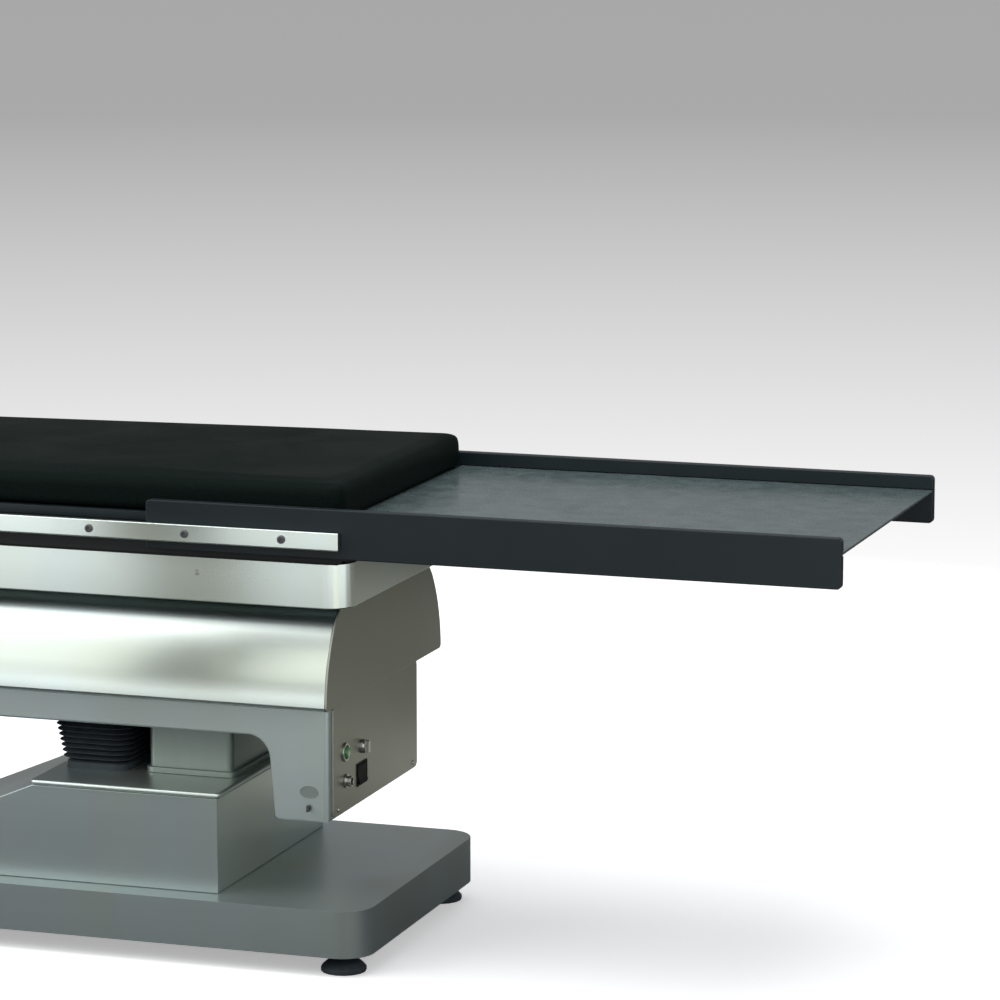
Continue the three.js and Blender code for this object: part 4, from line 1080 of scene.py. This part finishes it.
class RADIOTABLE_OT_stage(bpy.types.Operator):
    """Set the pale floor, the backdrop light, the lamps and the camera"""

    bl_idname = "radiotable.stage"
    bl_label = "Stage"

    def execute(self, context):
        self.make_floor()
        self.make_world(context.scene)
        for card in CARDS:
            self.make_card(*card)
        for lamp in LAMPS:
            self.add_lamp(*lamp)
        self.make_camera(context.scene)
        return {"FINISHED"}

    def add_lamp(self, name, place, aim, size, power):
        light = bpy.data.lights.new(name, "AREA")
        light.shape = "RECTANGLE"
        light.size, light.size_y = size
        light.energy = power
        lamp = bpy.data.objects.new(name, light)
        bpy.context.scene.collection.objects.link(lamp)
        lamp.visible_camera = False
        lamp.location = place
        lamp.rotation_euler = (Vector(aim) - Vector(place)).to_track_quat("-Z", "Y").to_euler()

    def make_card(self, name, colour, centre, size, lean, axis, stops):
        """A card that only reflections see, whose glow runs along an axis."""
        card = model_plane(name, *size, centre, lean)
        material, tree = new_material(name)
        place = new_node(tree, "TexCoord").outputs["Object"]
        first, last = stops[0][0], stops[-1][0]
        along = map_range(tree, split_axes(tree, place)[axis], first, last)
        steps = [((spot - first) / (last - first), strength) for spot, strength in stops]
        glow = new_node(tree, "Emission", Color=colour, Strength=grey_ramp(tree, along, steps))
        tree.links.new(glow.outputs["Emission"], tree.nodes["Material Output"].inputs["Surface"])
        card.data.materials.append(material)
        card.visible_camera = False
        card.visible_diffuse = False
        card.visible_shadow = False

    def make_floor(self):
        """A disc, pale to the camera and darker in reflections, with a painted pool of light in its middle
        that reflections see, and which fades into the white of the backdrop.
        """
        clear_selection()
        bpy.ops.mesh.primitive_circle_add(vertices=96, radius=FLOOR_EDGE, fill_type="NGON")
        floor = name_new("floor")
        material, tree = new_material("pale floor")
        path = new_node(tree, "LightPath").outputs
        seen = math_node(tree, "MAXIMUM", path["Is Camera Ray"], path["Is Transmission Ray"])
        far = new_node(tree, "VectorMath")
        far.operation = "LENGTH"
        tree.links.new(new_node(tree, "TexCoord").outputs["Object"], far.inputs[0])
        distance = far.outputs["Value"]
        # Painted pool of light: the floor's colour for reflections is brighter in its middle than further out
        painted_pool = grey_ramp(tree, map_range(tree, distance, 0.0, FLOOR_POOL), FLOOR_PAINTED_POOL)
        paint = tree.nodes["Principled BSDF"]
        feed_inputs(tree, paint, {
            "Base Color": mix_colours(tree, seen, painted_pool, WHITE), "Roughness": 0.9, "Specular IOR Level": 0.0})
        glow = map_range(tree, distance, FLOOR_GLOW, FLOOR_FADE, to_low=0.40, to_high=0.75)
        white = new_node(tree, "Emission", Strength=math_node(tree, "MULTIPLY", seen, glow))
        lift = new_node(tree, "AddShader")
        tree.links.new(paint.outputs["BSDF"], lift.inputs[0])
        tree.links.new(white.outputs["Emission"], lift.inputs[1])
        fade = map_range(tree, distance, FLOOR_FADE, FLOOR_EDGE)
        surface = self.mix_shaders(tree, fade, lift.outputs["Shader"],
                                   new_node(tree, "BsdfTransparent").outputs["BSDF"])
        tree.links.new(surface, tree.nodes["Material Output"].inputs["Surface"])
        floor.data.materials.append(material)

    def make_world(self, scene):
        """Even light, a backdrop from grey above to white below, and a brighter room in front."""
        world = bpy.data.worlds.new("studio")
        scene.world = world
        world.use_nodes = True
        tree = world.node_tree
        light = tree.nodes["Background"]
        feed_inputs(tree, light, {"Color": WORLD_COLOUR, "Strength": WORLD_STRENGTH})
        axes = split_axes(tree, new_node(tree, "TexCoord").outputs["Generated"])
        behind = grey_ramp(tree, map_range(tree, axes["Z"], *BACKDROP_SPAN), BACKDROP_GREYS)
        room = grey_ramp(tree, map_range(tree, axes["Z"], *ROOM_SPAN), ROOM_GREYS)
        path = new_node(tree, "LightPath").outputs
        in_front = map_range(tree, axes["Y"], 0.05, -0.05)
        facing_room = math_node(tree, "MULTIPLY", in_front, path["Is Glossy Ray"])
        glare = math_node(tree, "MULTIPLY", facing_room, ROOM_GLARE)
        backdrop = new_node(tree, "Background", Color=mix_colours(tree, facing_room, behind, room),
                            Strength=math_node(tree, "ADD", glare, 1.0))
        seen = math_node(tree, "MAXIMUM", path["Is Camera Ray"], path["Is Glossy Ray"])
        seen = math_node(tree, "MAXIMUM", seen, path["Is Transmission Ray"])
        surface = self.mix_shaders(tree, seen, light.outputs["Background"], backdrop.outputs["Background"])
        tree.links.new(surface, tree.nodes["World Output"].inputs["Surface"])

    def mix_shaders(self, tree, factor, first, second):
        mix = new_node(tree, "MixShader", Fac=factor)
        tree.links.new(first, mix.inputs[1])
        tree.links.new(second, mix.inputs[2])
        return mix.outputs["Shader"]

    def make_camera(self, scene):
        data = bpy.data.cameras.new("photo camera")
        data.sensor_width = CAMERA_SENSOR
        data.lens = CAMERA_LENS
        camera = bpy.data.objects.new("photo camera", data)
        scene.collection.objects.link(camera)
        camera.location = CAMERA_PLACE
        camera.rotation_euler = (math.radians(90 - CAMERA_ELEVATION), 0, math.radians(CAMERA_AZIMUTH))
        scene.camera = camera
        scene.view_settings.view_transform = "Standard"


OPERATORS = (
    RADIOTABLE_OT_finishes,
    RADIOTABLE_OT_covers,
    RADIOTABLE_OT_top,
    RADIOTABLE_OT_mattress,
    RADIOTABLE_OT_bellows,
    RADIOTABLE_OT_screws,
    RADIOTABLE_OT_controls,
    RADIOTABLE_OT_feet,
    RADIOTABLE_OT_stage,
)


class RADIOTABLE_PT_sidebar(bpy.types.Panel):
    """Sizes, colours and steps of the radiography table"""

    bl_idname = "RADIOTABLE_PT_sidebar"
    bl_label = "Radiography Table"
    bl_space_type = "VIEW_3D"
    bl_region_type = "UI"
    bl_category = "Radiography Table"

    def draw(self, context):
        for operator in OPERATORS:
            self.layout.operator(operator.bl_idname)
        for group in (context.scene.radiotable_sizes, context.scene.radiotable_colours):
            box = self.layout.box()
            for label in group.__annotations__:
                box.prop(group, label)


CLASSES = (RADIOTABLE_PG_sizes, RADIOTABLE_PG_colours, *OPERATORS, RADIOTABLE_PT_sidebar)


def register():
    for cls in CLASSES:
        bpy.utils.register_class(cls)
    bpy.types.Scene.radiotable_sizes = bpy.props.PointerProperty(type=RADIOTABLE_PG_sizes)
    bpy.types.Scene.radiotable_colours = bpy.props.PointerProperty(type=RADIOTABLE_PG_colours)


def unregister():
    del bpy.types.Scene.radiotable_colours
    del bpy.types.Scene.radiotable_sizes
    for cls in reversed(CLASSES):
        bpy.utils.unregister_class(cls)


def main():
    register()
    bpy.ops.radiotable.finishes()
    bpy.ops.radiotable.covers()
    bpy.ops.radiotable.top()
    bpy.ops.radiotable.mattress()
    bpy.ops.radiotable.bellows()
    bpy.ops.radiotable.screws()
    bpy.ops.radiotable.controls()
    bpy.ops.radiotable.feet()
    bpy.ops.radiotable.stage()


if __name__ == "__main__":
    main()
